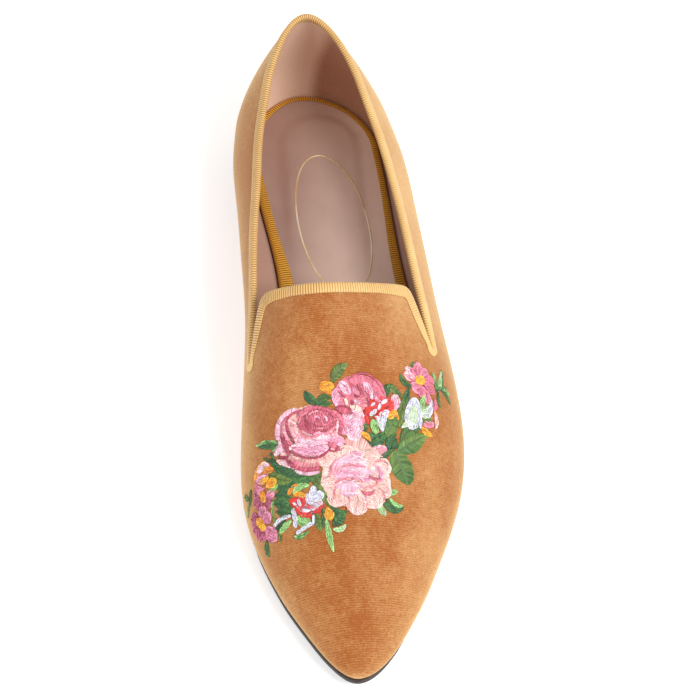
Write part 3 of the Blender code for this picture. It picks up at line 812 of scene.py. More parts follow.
# %% The insole's finish
CLOUD_SIZE, PORE_SIZE, HANDLED_SIZE = 30, 0.45, 6
# Deep and pale rose are the ends of the leather's painted light, with random cloud between them; the third
# colour is a painted light band on the lateral side, the fourth random handling.
DEEP_ROSE, PALE_ROSE = linear(154, 119, 106), linear(236, 204, 186)
PAINTED_LIGHT_ROSE, HANDLED_ROSE = linear(250, 226, 208), linear(150, 112, 100)

kid_leather = Finish("dusty_rose_kid", Specular_IOR_Level=0.5, Coat_Weight=0.5, Coat_Roughness=0.22)
at = kid_leather.place()
cloud = kid_leather.noise(at, CLOUD_SIZE, 2)
pores = kid_leather.noise(at, PORE_SIZE, 3, 0.6)
handled = kid_leather.noise(at, HANDLED_SIZE, 4, 0.6)
across, along = kid_leather.part(at, "X"), kid_leather.part(at, "Y")
# Painted light: the leather is painted paler towards the lateral side and towards the toe.
painted_light = across.within(-22, 20) * 0.85 + (20 - along).within(-50, 60) * 0.25
leather = kid_leather.mix(DEEP_ROSE, PALE_ROSE, painted_light * 0.9 + (cloud - 0.5) * 0.4)
# Painted light: a band on the lateral side is painted paler again.
leather = kid_leather.mix(leather, PAINTED_LIGHT_ROSE, across.within(8, 22) * 0.3)
kid_leather.set(Base_Color=kid_leather.mix(leather, HANDLED_ROSE, (handled - 0.5) * 0.5),
                Roughness=0.34 + handled * 0.12,
                Normal=kid_leather.bump(pores * 0.7 + handled * 0.3, 0.05, 0.5))


# %% Make the insole
def insole_slab():
    """Rows across the insole's outline, a top surface with the pad's height and a flat underside."""
    loop, _ = feather_loop(INSOLE_MARGINS)
    share = np.sin(np.linspace(0, np.pi / 2, INSOLE_ROWS)) ** 2
    y = loop[0, 1] + (loop[PLAN_POINTS - 1, 1] - loop[0, 1]) * share
    lateral_x, medial_x = halves_at(loop, y)
    across = np.linspace(0, 1, INSOLE_ACROSS + 1)
    x = lateral_x[:, None] + (medial_x - lateral_x)[:, None] * across
    plan = np.stack([x, np.broadcast_to(y[:, None], x.shape)], axis=-1)
    station = CENTRE_STATION - plan[..., 1]
    top = insole_top(station) + pad_height(plan)
    low = insole_top(station) - INSOLE_THICKNESS
    upper = np.concatenate([plan, top[..., None]], axis=-1)
    lower = np.concatenate([plan, low[..., None]], axis=-1)
    ring = np.concatenate([lower, upper[:, ::-1], lower[:, :1]], axis=1)
    return grid_piece("kid_insole", ring, kid_leather.material)


insole = insole_slab()
finish_piece(insole, "insole_leather", "insole")

# %% Make the insole's ribbon
# The second colour is the painted shade of the grooves, which the wear also uses.
amber = grosgrain("deep_gold_grosgrain", linear(222, 158, 40), linear(96, 54, 8))
loop, loop_out = feather_loop(INSOLE_MARGINS, FINE_PLAN_POINTS)
step = np.linalg.norm(np.diff(np.concatenate([loop, loop[:1]]), axis=0), axis=1)
travel = np.concatenate([[0], np.cumsum(step)])
ribs = int(round(travel[-1] / RIB_PITCH))
print("insole edge:", round(travel[-1], 1), "mm,", ribs, "ribs")
even = np.arange(ribs * RIB_STEPS) * travel[-1] / (ribs * RIB_STEPS)


def along_loop(values):
    """Values at the loop's points, read at even steps of its length."""
    closed = np.concatenate([values, values[:1]])
    return np.stack([np.interp(even, travel, closed[:, i]) for i in range(closed.shape[1])], axis=1)


plan, plan_normal = along_loop(loop), unit(along_loop(loop_out))
into = np.concatenate([-plan_normal, np.zeros((len(plan), 1))], axis=1)
up = np.broadcast_to([0, 0, 1.0], into.shape)
edge = np.concatenate([plan, insole_top(CENTRE_STATION - plan[:, 1:])], axis=1)
side = np.where(np.arange(len(edge)) * 2 < len(edge), LATERAL, MEDIAL)
width = by_side(side, INSOLE_RIBBON, "width")(CENTRE_STATION - edge[:, 1])
foot = edge + into * width[:, None]
foot[:, 2] = insole_top(CENTRE_STATION - foot[:, 1])
insole_binding = folded_ribbon("insole_ribbon", ribs, edge, up, into, foot, up, INSOLE_THICKNESS,
                               amber.material)
finish_piece(insole_binding, "insole_ribbon", "insole_binding")

# %% [markdown]
# ## The foil line
# A thin oval is stamped in gold foil on the heel of the insole. It is left empty. It could be painted in the
# leather's shader, but a real band keeps its edge crisp from close by. Its place, size and turn come from a
# fit as well.

# %% Make the foil oval
OVAL_CENTRE, OVAL_STATION = 1.7, 73.3
OVAL_LONG, OVAL_WIDE, OVAL_TURN, OVAL_EGG = 33.1, 14.3, np.radians(7.4), 0.03
FOIL_WIDTH, FOIL_LIFT, FOIL_STEPS = 0.75, 0.08, 360
FOIL_PROFILE = np.array([(-0.5, 0.0), (-0.45, 1.0), (0.0, 1.15), (0.45, 1.0),
                         (0.5, 0.0), (0.0, -0.5), (-0.5, 0.0)])

foil = Finish("pale_gold_foil", Metallic=0.55)
wear = foil.noise(foil.place(), 9, 3).within(0.3, 0.7)
foil.set(Base_Color=foil.mix(linear(255, 246, 214), linear(222, 182, 126), wear),
         Roughness=0.35 + wear * 0.15)


def foil_oval():
    """An egg-shaped ring, a half sine in width one way and in length the other, given a flat profile."""
    turn = np.linspace(0, 2 * np.pi, FOIL_STEPS + 1)[:, None]
    reach, lift = FOIL_PROFILE[:, 0] * FOIL_WIDTH, FOIL_PROFILE[:, 1] * FOIL_LIFT
    long = np.sin(turn) * (OVAL_LONG + reach)
    wide = np.cos(turn) * (OVAL_WIDE * (1 + OVAL_EGG * np.sin(turn)) + reach)
    x = OVAL_CENTRE + long * np.sin(OVAL_TURN) + wide * np.cos(OVAL_TURN)
    station = OVAL_STATION + long * np.cos(OVAL_TURN) - wide * np.sin(OVAL_TURN)
    plan = np.stack([x, CENTRE_STATION - station], axis=-1)
    z = insole_top(station) + pad_height(plan) + lift
    return np.concatenate([plan, z[..., None]], axis=-1)


finish_piece(grid_piece("foil_oval", foil_oval(), foil.material), "insole_leather")

# %% [markdown]
# ## Sole and heel
# The outsole is leather cut to the outline, with its edge sanded round, stained and burnished, and a groove
# near its top. The low heel is built of lifts, so two thin joints run round it. Both are an outline that
# shrinks and grows by small insets up the edge. Bevels would do for the round edges, but not for grooves.

# %% Sizes of the sole and heel
SOLE_MARGIN, HEEL_BREAST, HEEL_HOLLOW, HEEL_TAPER = 0.7, 58.0, 3.0, 1.2
LATERAL_SHOW = ((224, 242, 254, 266), (0, 1.7, 1.5, 0.3))
MEDIAL_SHOW = ((188, 214, 256, 266), (0, 0.7, 0.7, 0.3))
HEEL_ROWS, HEEL_ACROSS = 90, 61
SOLE_EDGE = ((1.1, 0, 0), (0.5, 0, 0.1), (0.13, 0, 0.42), (0, 0, 0.95), (-0.05, 0.5, 0), (0, 1, -0.85),
             (0.16, 1, -0.76), (0.16, 1, -0.64), (0, 1, -0.55), (0.08, 1, -0.2), (0.45, 1, 0))
HEEL_EDGE = ((0.9, 0, 0), (0.4, 0, 0.08), (0.1, 0, 0.35), (0, 0, 0.75), (0, 0.27, 0), (0.13, 0.283, 0),
             (0.13, 0.297, 0), (0, 0.31, 0), (0, 0.63, 0), (0.11, 0.643, 0), (0.11, 0.655, 0), (0, 0.668, 0),
             (0, 1, -0.4), (0.1, 1, -0.12), (0.35, 1, 0))


# %% Outlines of the sole and heel
def sole_outline(inset, rise):
    """The feather edge moved out by a margin, the same at every rise. Towards the toe the sole shows past
    the velvet, from further back on the medial side."""
    loop, out = feather_loop((SOLE_MARGIN - inset, SOLE_MARGIN - inset))
    station = CENTRE_STATION - loop[:, 1]
    lateral, medial = np.interp(station, *LATERAL_SHOW), np.interp(station, *MEDIAL_SHOW)
    return loop + out * np.where(np.arange(len(loop)) < PLAN_POINTS, lateral, medial)[:, None]


def heel_outline(inset, rise):
    """The back of the outline up to the breast, which is hollow: a parabola between the two sides. The
    block tapers, so all of it is smaller lower down."""
    inset = inset + HEEL_TAPER * (1 - rise)
    loop = sole_outline(inset, rise)
    end = CENTRE_STATION - HEEL_BREAST + inset
    y = loop[0, 1] + (end - loop[0, 1]) * crowded(HEEL_ROWS, BACK_CROWDING)
    lateral_x, medial_x = halves_at(loop, y)
    across = np.linspace(0, 1, HEEL_ACROSS)[1:-1]
    x = lateral_x[-1] + (medial_x[-1] - lateral_x[-1]) * across
    breast = np.stack([x, end + HEEL_HOLLOW * 4 * across * (1 - across)], axis=1)
    lateral, medial = np.stack([lateral_x, y], axis=1), np.stack([medial_x, y], axis=1)
    return np.concatenate([lateral, breast, medial[:0:-1]])


# %% Make the sole and heel
def block(name, outline, low, high, edge, material):
    """A solid between two heights, its side built from rows of an edge: an inset, a share of the way up and
    a lift. Each cap draws the outline in to the middle of its pairs of opposite points."""
    rows = []
    for inset, rise, lift in edge:
        plan = outline(inset, rise)
        station = CENTRE_STATION - plan[:, 1]
        rows.append(np.column_stack([plan, low(station) * (1 - rise) + high(station) * rise + lift]))
    for end, height in ((0, low), (-1, high)):
        ring = rows[end]
        middle = (ring + np.roll(ring[::-1], 1, axis=0)) / 2
        for share in (0.5, 1.0):
            drawn = ring + (middle - ring) * share
            drawn[:, 2] = height(CENTRE_STATION - drawn[:, 1])
            rows.insert(0 if end == 0 else len(rows), drawn)
    grid = np.array(rows)
    grid = np.concatenate([grid, grid[:, :1]], axis=1)
    return grid_piece(name, grid, material)


def sole_leather(name, stain, joint):
    """Dark stained leather, waxed at the edge, with fibres that lie level."""
    made = Finish(name, Specular_IOR_Level=0.45, Coat_Weight=0.15, Coat_Roughness=0.3)
    cloud = made.noise(made.place(), 6, 3)
    fibre = made.noise(made.place((1, 1, 6)), 1.4, 3, 0.6)
    made.set(Base_Color=made.mix(linear(*stain), linear(*joint), cloud * 0.5 + fibre * 0.5),
             Roughness=0.36 + fibre * 0.25, Normal=made.bump(fibre, 0.08, 0.6))
    return made.material


outsole = block("leather_outsole", sole_outline, underside, lambda station: underside(station) + SOLE,
                SOLE_EDGE, sole_leather("dark_sole_leather", (62, 46, 40), (30, 21, 18)))
finish_piece(outsole, "sole_leather", "outsole")
heel = block("stacked_heel", heel_outline, lambda station: 0 * station,
             lambda station: underside(station) - GAP, HEEL_EDGE,
             sole_leather("dark_heel_leather", (54, 40, 35), (26, 18, 16)))
finish_piece(heel, "heel_leather", "heel")

# %% [markdown]
# ## The vamp as flat cloth
# Embroidery is drawn flat and worked before the upper is cut. So the vamp gets a flat chart: one number is
# the distance across from the ridge, measured along the surface, and the other is the station. A table of
# girths turns a chart point back into a place on the last, which keeps every stitch its true length.

# %% Chart of the vamp
CHART_FROM, CHART_TO, CHART_STEP, CHART_WIDTH = 145.0, 245.0, 0.5, 64.0
LOWEST_CLIMB, GIRTH_STEPS = 0.1, 500


def chart_climbs(side):
    """Climbs at even stations and even girths: the girth is summed along each section from its ridge."""
    station = np.arange(CHART_FROM, CHART_TO, CHART_STEP)
    climb = np.linspace(1, LOWEST_CLIMB, GIRTH_STEPS)
    section = last(side, station[:, None], climb)
    step = np.linalg.norm(np.diff(section, axis=1), axis=2)
    girth = np.concatenate([np.zeros((len(station), 1)), np.cumsum(step, axis=1)], axis=1)
    across = np.arange(0, CHART_WIDTH, CHART_STEP)
    return np.array([np.interp(across, row, climb) for row in girth])


CHART = np.stack([chart_climbs(LATERAL), chart_climbs(MEDIAL)])


def on_vamp(across, station, height):
    """Points on the vamp, raised along its normal, by reading the chart between its four nearest entries."""
    side = np.where(across < 0, MEDIAL, LATERAL)
    row, column = (station - CHART_FROM) / CHART_STEP, np.abs(across) / CHART_STEP
    low, left = row.astype(int), column.astype(int)
    down, right = row - low, column - left
    page = np.where(side > 0, 0, 1)
    climb = (CHART[page, low, left] * (1 - down) * (1 - right)
             + CHART[page, low + 1, left] * down * (1 - right)
             + CHART[page, low, left + 1] * (1 - down) * right
             + CHART[page, low + 1, left + 1] * down * right)
    return last(side, station, climb) + normal(side, station, climb) * height[..., None]


# %% [markdown]
# ## Silk stitches
# A petal or a leaf is a patch: a curved line through three points with a width that swells and closes.
# Its two parameters run along the line and across it, and stitches are straight runs in them, so they bend
# with the petal. A real machine lays satin stitch across narrow shapes, long and short stitch along petals,
# and leaf stitch out from the vein. Each stitch is a small rounded bar that dips into the velvet at both
# ends, and a low cushion under each patch hides the velvet between threads; the cushion is painted darker,
# as shade between the threads.

# %% Sizes of the stitches
THREAD_WIDTH, THREAD_RISE, THREAD_SPACING = 0.46, 0.26, 0.4
STITCH_LENGTH, SATIN_LENGTH, LAYER_RISE = 2.3, 3.6, 0.12
SLANT, VEIN_SLANT, OVERHANG = 0.03, 0.16, 1.02
SPINE_STEPS, SHORTEST, STAGGER = 30, 0.25, 0.35
STITCH_STEPS = np.array([0.0, 0.22, 0.5, 0.78, 1.0])
STITCH_ARCH = np.array([-0.9, 0.7, 1.0, 0.7, -0.9])
THREAD_PROFILE = np.array([(-0.5, -0.7), (-0.27, 0.0), (0.27, 0.0), (0.5, -0.7)])
OUTLINES = {
    "leaf": lambda u: np.sin(np.pi * u) ** 0.8,
    "petal": lambda u: np.sin(np.pi * u**1.5) ** 0.65,
    "round": lambda u: 2 * np.sqrt(np.clip(u * (1 - u), 0, 1)),
    "band": lambda u: np.sqrt(np.clip(1 - (2 * u - 1) ** 8, 0, 1)),
}
Patch = namedtuple("Patch", "outline style spine width layer root tip")
SILKS = {name: np.array(linear(*shade)) for name, shade in {
    "deep": (158, 50, 74), "rose": (196, 88, 110), "coral": (220, 118, 138), "pink": (230, 150, 176),
    "lilac": (238, 176, 200), "blush": (244, 206, 216), "salmon": (228, 156, 154), "peach": (238, 188, 178),
    "shell": (242, 200, 192), "cream": (238, 214, 190), "white": (214, 215, 229), "red": (216, 48, 38),
    "orange": (230, 142, 34), "yellow": (238, 180, 40), "forest": (24, 80, 44), "green": (64, 116, 50),
    "olive": (108, 134, 54), "moss": (74, 94, 30), "mint": (150, 196, 120), "pistachio": (194, 214, 174),
    "mauve": (200, 104, 136),
}.items()}


# %% Where the stitches run
def spot(patch, u, v):
    """Chart point of a patch: the parabola through its three points, moved sideways by v half widths."""
    start, middle, end = patch.spine
    half = patch.width / 2 * OUTLINES[patch.outline](np.clip(u, 0, 1))
    u = u[..., None]
    here = start * (1 - u) * (1 - 2 * u) + middle * 4 * u * (1 - u) + end * u * (2 * u - 1)
    ahead = start * (4 * u - 3) + middle * (4 - 8 * u) + end * (4 * u - 1)
    return here + unit(ahead[..., ::-1] * (1, -1)) * (v * half)[..., None]


def staggered(lines, pieces, chance):
    """Lines of stitches from 0 to 1. Every other line is moved by half a stitch, and all of them by a
    little chance."""
    line = np.arange(lines)[:, None]
    shift = (0.5 * (line % 2) + chance.uniform(0, STAGGER, (lines, 1))) * (pieces > 1)
    join = np.clip((np.arange(pieces + 2) - shift) / pieces, 0, 1)
    share = np.broadcast_to((line + 0.5) / lines, join[:, 1:].shape)
    kept = join[:, 1:] - join[:, :-1] > SHORTEST / pieces
    return share[kept], join[:, :-1][kept], join[:, 1:][kept]


def stitch_lines(patch, chance):
    """Both parameters of every stitch in a patch, at the steps along a stitch."""
    spine = spot(patch, np.linspace(0, 1, SPINE_STEPS), np.zeros(SPINE_STEPS))
    length = np.linalg.norm(np.diff(spine, axis=0), axis=1).sum()
    rows, lines = (max(2, round(size / THREAD_SPACING)) for size in (length, patch.width))
    step = STITCH_STEPS
    if patch.style == "along":
        share, start, end = staggered(lines, max(1, round(length / STITCH_LENGTH)), chance)
        u = start[:, None] + (end - start)[:, None] * step
        return u, np.broadcast_to(2 * share[:, None] - 1, u.shape)
    if patch.style == "across":
        share, start, end = staggered(rows, max(1, round(patch.width / SATIN_LENGTH)), chance)
        v = 2 * (start[:, None] + (end - start)[:, None] * step) - 1
        return np.clip(share[:, None] + SLANT * v, 0, 1), v
    share = (np.arange(rows) + 0.5) / rows
    from_vein = np.clip(share[:, None] * (1 + VEIN_SLANT) - VEIN_SLANT + VEIN_SLANT * step, 0, 1)
    out = np.broadcast_to(step * OVERHANG, from_vein.shape)
    return np.concatenate([from_vein, from_vein]), np.concatenate([out, -out])


# %% Threads
WIDTH_CHANCE, RISE_CHANCE = (0.85, 1.15), (-0.03, 0.03)
SHADE_DRIFT, LIGHT_DRIFT = 0.36, 0.12
DARK_BELOW, DARK_THREAD, BRIGHT_ABOVE, BRIGHT_THREAD = 0.14, 0.68, 0.9, 1.35


def patch_threads(patch, chance):
    """Chart points, heights and colours of a patch's stitches, four points round each of five steps. A
    stitch's colour lies near its place between the patch's two silks, and a few are dark or bright."""
    u, v = stitch_lines(patch, chance)
    centre = spot(patch, u, v)
    ahead = unit(np.gradient(centre, axis=1) + 1e-9)
    beside = ahead[..., ::-1] * (1, -1)
    width = THREAD_WIDTH * chance.uniform(*WIDTH_CHANCE, (len(u), 1, 1, 1))
    chart = centre[:, :, None] + beside[:, :, None] * THREAD_PROFILE[:, :1] * width
    base = patch.layer * LAYER_RISE + chance.uniform(*RISE_CHANCE, (len(u), 1, 1))
    height = base + THREAD_RISE * (STITCH_ARCH[:, None] + THREAD_PROFILE[:, 1])
    share = np.clip(u.mean(axis=1) + chance.normal(0, SHADE_DRIFT, len(u)), 0, 1)[:, None]
    silk = SILKS[patch.root] + (SILKS[patch.tip] - SILKS[patch.root]) * share
    odd = chance.uniform(0, 1, (len(u), 1))
    light = np.where(odd < DARK_BELOW, DARK_THREAD, np.where(odd > BRIGHT_ABOVE, BRIGHT_THREAD, 1))
    silk = silk * chance.normal(1, LIGHT_DRIFT, (len(u), 1)) * light
    return chart, height, np.broadcast_to(silk[:, None, None], (*height.shape, 4))


# %% Cushions
CUSHION_ROWS, CUSHION_PAINTED_SHADE = 16, 0.3
CUSHION_ACROSS = np.array([-0.93, -0.8, -0.4, 0.0, 0.4, 0.8, 0.93, 0.93, -0.93, -0.93])
CUSHION_HEIGHT = np.array([-0.25, 0.05, 0.1, 0.12, 0.1, 0.05, -0.25, -0.5, -0.5, -0.25])


def patch_cushion(patch):
    """A low closed pad under a patch: a ring across it at each row. Its colour is the patch's silks painted
    darker, as shade between the threads.
    """
    u = np.linspace(0, 1, CUSHION_ROWS)[:, None]
    u, v = np.broadcast_arrays(0.5 - 0.5 * np.cos(np.pi * u), CUSHION_ACROSS)
    height = (patch.layer - 1) * LAYER_RISE * (CUSHION_HEIGHT > 0) + CUSHION_HEIGHT
    height = np.broadcast_to(height, u.shape)
    silk = (SILKS[patch.root] + SILKS[patch.tip]) * CUSHION_PAINTED_SHADE
    return spot(patch, u, v), height, np.broadcast_to(silk, (*u.shape, 4))


# A stitch's bar: four points round it at each of its steps, with a quad closing each end.
BAR_POINTS = len(STITCH_STEPS) * len(THREAD_PROFILE)
RING = np.array([(0, 1, 5, 4), (1, 2, 6, 5), (2, 3, 7, 6), (3, 0, 4, 7)])
BAR = np.concatenate([(RING + 4 * i) for i in range(len(STITCH_STEPS) - 1)]
                     + [np.array([(3, 2, 1, 0)]), np.array([(16, 17, 18, 19)])])


# %% A piece of embroidery
def embroider(name, worked, material, seed):
    """One piece from a list of patches: all its cushions and all its stitches."""
    chance = np.random.default_rng(seed)
    points, faces, colours, first, count = [], [], [], 0, 0
    for patch in worked:
        stitches, cushion = patch_threads(patch, chance), patch_cushion(patch)
        bars = len(stitches[0])
        bar_faces = (first + BAR_POINTS * np.arange(bars)[:, None, None] + BAR).reshape(-1, 4)
        pad_faces = grid_faces(*cushion[1].shape, first + BAR_POINTS * bars)
        for (chart, height, silk), quads in ((stitches, bar_faces), (cushion, pad_faces)):
            points.append(on_vamp(chart[..., 0], chart[..., 1], height).reshape(-1, 3))
            faces.append(quads)
            colours.append(silk.reshape(-1, 4))
            first += len(points[-1])
        count += bars
    made = mesh_piece(name, np.concatenate(points), np.concatenate(faces), material,
                      colour=np.concatenate(colours))
    finish_piece(made, "velvet")
    print(name, count, "stitches")


# %% [markdown]
# ## The silk's finish
# Silk thread shines along its length and is slightly uneven in its dye. Each stitch carries its own colour as
# an attribute of its points, so one material serves every shade, and fine noise stands for the twist.

# %% The silk's finish
silk = Finish("silk_thread", Roughness=0.42, Sheen_Weight=0.15, Sheen_Roughness=0.3, Specular_IOR_Level=0.45)
dye = silk.node("ShaderNodeAttribute", {"attribute_name": "silk"}, {}, "Color")
ply = silk.noise(silk.place(), 0.25, 1)
silk.set(Base_Color=silk.mix(dye, linear(255, 236, 236), (ply - 0.45) * 0.25),
         Normal=silk.bump(ply, 0.06, 0.5))

# %% [markdown]
# ## The rose spray
# A traditional flower spray: three cabbage roses, with blossoms and buds in a loose S across the vamp. Each
# row is one petal or leaf: its outline, the way it is stitched, three points of its line in chart
# millimetres, its width, its layer, and the silks at its two ends. A row that starts with "blossom" gives a
# centre and the tips of its petals instead. Lists of numbers in code would do as well, but rows of plain
# text are easier to read and to change, and one small function turns them into patches.

# %% Rows of text into patches
PETAL_START, PETAL_MIDDLE = 0.2, 0.6


def patches(rows):
    """A patch for each row, and one for each petal of a row that starts with blossom."""
    made = []
    for row in rows.strip().splitlines():
        outline, style, *numbers, root, tip = row.split()
        *points, width, layer = (float(number) for number in numbers)
        points = np.array(points).reshape(-1, 2)
        spines = [points]
        if outline == "blossom":
            outline, (centre, *ends) = "petal", points
            spines = [np.array([centre + (end - centre) * PETAL_START,
                                centre + (end - centre) * PETAL_MIDDLE, end]) for end in ends]
        made += [Patch(outline, style, spine, width, layer, root, tip) for spine in spines]
    return made


# %% The left rose
ROSE_LEFT = patches("""
round along -20.5 182.5  -9.5 182.9  1.5 182.1  16 1 peach blush
leaf along -21.5 188.5  -13 191.5  -4 191  10 1 peach blush
band across -12.5 176  -19.8 177.8  -21.6 183.9  3.2 2 blush lilac
band across -20.6 183.9  -21.2 186.1  -19.8 188.4  2.4 2 blush pink
band across -13.6 177.1  -18.2 179.4  -18.4 185.2  2 3 peach pink
band along -14.2 176.4  -19.3 178.5  -19.6 183.8  0.5 4 rose coral
band across -11.5 176.2  -17.5 178.7  -15.4 186.6  1.5 4 rose deep
leaf along -20.2 182  -19.2 185.7  -18.2 190.6  2.4 4 deep rose
leaf along -18.2 184.7  -17 186.6  -15.4 188.4  1 5 coral rose
band across -14.6 178.5  -14.8 183.4  -7.6 185.2  3 3 salmon blush
band across -9 185.2  -4 185.9  -0.2 183.4  3.2 3 blush salmon
leaf along -13.4 183.4  -10.4 186.1  -5 186.6  0.6 4 coral salmon
leaf along -4.6 184.8  -2.2 185  0 183.4  0.6 4 coral rose
leaf along -14.8 179.8  -15 182.5  -13.2 184.8  0.6 4 salmon coral
band across -14 185.7  -9 186.5  -3.4 186.1  1.5 4 lilac blush
round across -13.6 180.3  -6.3 180.5  0.8 180.9  9.4 4 rose coral
band across -13.2 178.4  -8 175.8  0.8 178.4  1.5 5 coral rose
leaf along -11.6 178  -10.8 181.1  -8.4 184.3  3.2 5 rose rose
leaf along -10 179.3  -10.2 181.1  -9 182.9  1.5 6 deep deep
band along -9.4 178.3  -4 176.8  -0.2 179.3  0.6 6 deep rose
band along -8.4 183.2  -3.4 183.8  0 181.1  0.8 6 deep rose
band along -7.8 181.5  -4.4 182.2  -2 180.9  0.6 6 deep coral
band along -1.9 178.2  -0.3 179.8  -1.3 181.8  0.6 6 deep rose
leaf across -7.6 179.6  -6.2 178.9  -5.2 179.9  0.9 7 lilac pink
leaf along -3.9 179  -3 179.8  -3.2 181  0.9 7 blush pink
leaf along -12 182.6  -10.9 184  -9.2 184.9  0.8 7 salmon blush
leaf along -6.9 182.6  -5.6 183  -4.2 182.9  0.5 7 pink salmon
leaf along -9.2 178.1  -7.4 177.3  -5.4 177.2  0.5 7 pink salmon
band along -13.1 180.4  -11.7 177.9  -9.2 177  0.7 6 salmon coral
band along -12.9 182.2  -10.6 184.9  -5.8 185.2  0.9 6 salmon coral
leaf across -8 184.8  -6 184.2  -4 185  1.8 5 lilac pink
band across -0.6 177.6  2.2 180.7  0.6 185.6  1.8 5 coral rose
leaf along -16.6 188.4  -9.4 190  -3.4 189.6  3.6 5 pink lilac
leaf along -17 187.2  -9.6 187.4  -3.6 188.2  2.2 6 blush lilac
band along -17.8 188.4  -10 192.6  -3 190  1 6 rose deep
leaf across -4.2 187.6  -1.8 189.2  0.6 190.4  2.6 5 coral rose
band along -3.8 190.4  -2 191  0.6 190.6  0.6 6 deep rose
leaf across -17.2 190.4  -10.6 193.4  -3.6 192.2  2.8 4 peach salmon
band across -17.6 191.6  -13.6 194.2  -7.2 194.8  2.2 4 coral salmon
band across -17.4 193.2  -13.4 195.8  -7.6 196  1.6 5 rose rose
leaf along -19.4 190.4  -18 193  -15.8 194.8  1.4 6 deep rose
band across -16.8 195.4  -12.8 197.4  -7.8 197.4  1.5 3 blush lilac
round along -23.6 188.8  -21.8 187  -19.4 187.4  3 3 blush lilac
band along -22.2 189.8  -20.6 190.2  -18.6 190.8  1.4 5 deep deep
leaf along -23.4 190.4  -21.4 191.6  -18.4 194.2  1.9 3 peach blush
""")

# %% The top rose and the petals beside it
ROSE_TOP = patches("""
round along 1.6 172.1  10.6 171.2  20.4 170.8  11.4 1 coral coral
round along 0.5 174.4  6 174.9  12 175.2  7 1 pink coral
band across 6 168.9  11 166.9  16.6 168.5  3 2 coral coral
band across 14.6 167.3  18.8 169.1  19.2 174.4  3.2 3 coral coral
band along 6.6 167.1  14.4 165.2  19.9 171.7  0.5 4 rose deep
round along 3.2 168  5 169.8  6.4 172.4  3.3 4 blush lilac
leaf along 4.6 168.7  5.8 170.3  6 171.7  0.5 5 coral rose
petal along 14.8 173.5  14 170.5  12.2 167.8  2.9 5 blush lilac
leaf along 12.4 169.4  13.6 171  14 172.6  0.5 6 coral rose
leaf across 15.6 172.1  16.8 173.1  18.2 174  1.9 5 lilac pink
petal along 1.2 176.1  1.3 173.1  2.6 169.9  3.2 3 lilac pink
leaf along 6.8 168  8.4 169.4  10 170.8  1 5 rose coral
band across 7.6 169.8  9.4 171.4  9.4 173.5  2.4 4 pink coral
leaf along 9.8 168.5  11 170.7  11.7 172.9  1.1 5 rose deep
band across 10.8 172.2  11.8 174.2  11.9 176.1  2.2 4 coral salmon
leaf along 13 172.8  13.4 174.4  12.8 176.1  0.8 5 rose deep
round across 4.4 173.3  6.4 173.5  8.6 173.6  3.6 4 coral coral
leaf along 2.4 170.5  3.4 172.2  5.4 172.9  0.8 5 deep rose
leaf along 6.5 173.8  7.1 174.9  7 175.9  1 6 deep deep
leaf along 8.2 172.2  9.2 172.8  10.4 172.4  0.7 6 deep deep
leaf along 4.2 173.3  4.9 174.5  4.8 175.9  1.3 6 cream peach
round across 6 176.3  8.2 176.5  10.6 177.4  2.3 5 cream peach
round across 7.8 174.2  8.8 174.5  9.9 175.1  1.8 6 lilac blush
leaf across 0.6 176.8  3.6 177.2  6.8 178.4  3 6 rose rose
leaf along 1.4 176.6  3.6 176.1  6.4 177.4  0.8 7 deep deep
round along 10.8 178  5.6 181  2.4 185.6  6.8 2 blush pink
round along 9.4 180.4  6.8 184  5.6 187.8  5.8 3 lilac blush
leaf across 4.4 180.6  5.2 183.6  6.8 186.4  2.2 4 pink lilac
leaf along 9.8 179  10.4 181  9 183.4  0.7 5 coral salmon
leaf along 3.2 180  3 182.6  3.8 185.4  0.7 5 coral pink
round across 2.2 188.2  7 188.4  12 190.2  5 2 salmon peach
round along -4.8 186.6  -1 187.4  2.4 187.6  4.2 3 pink lilac
band across -6.4 187.2  -5.4 188.4  -3.8 189.8  1.2 5 peach blush
""")

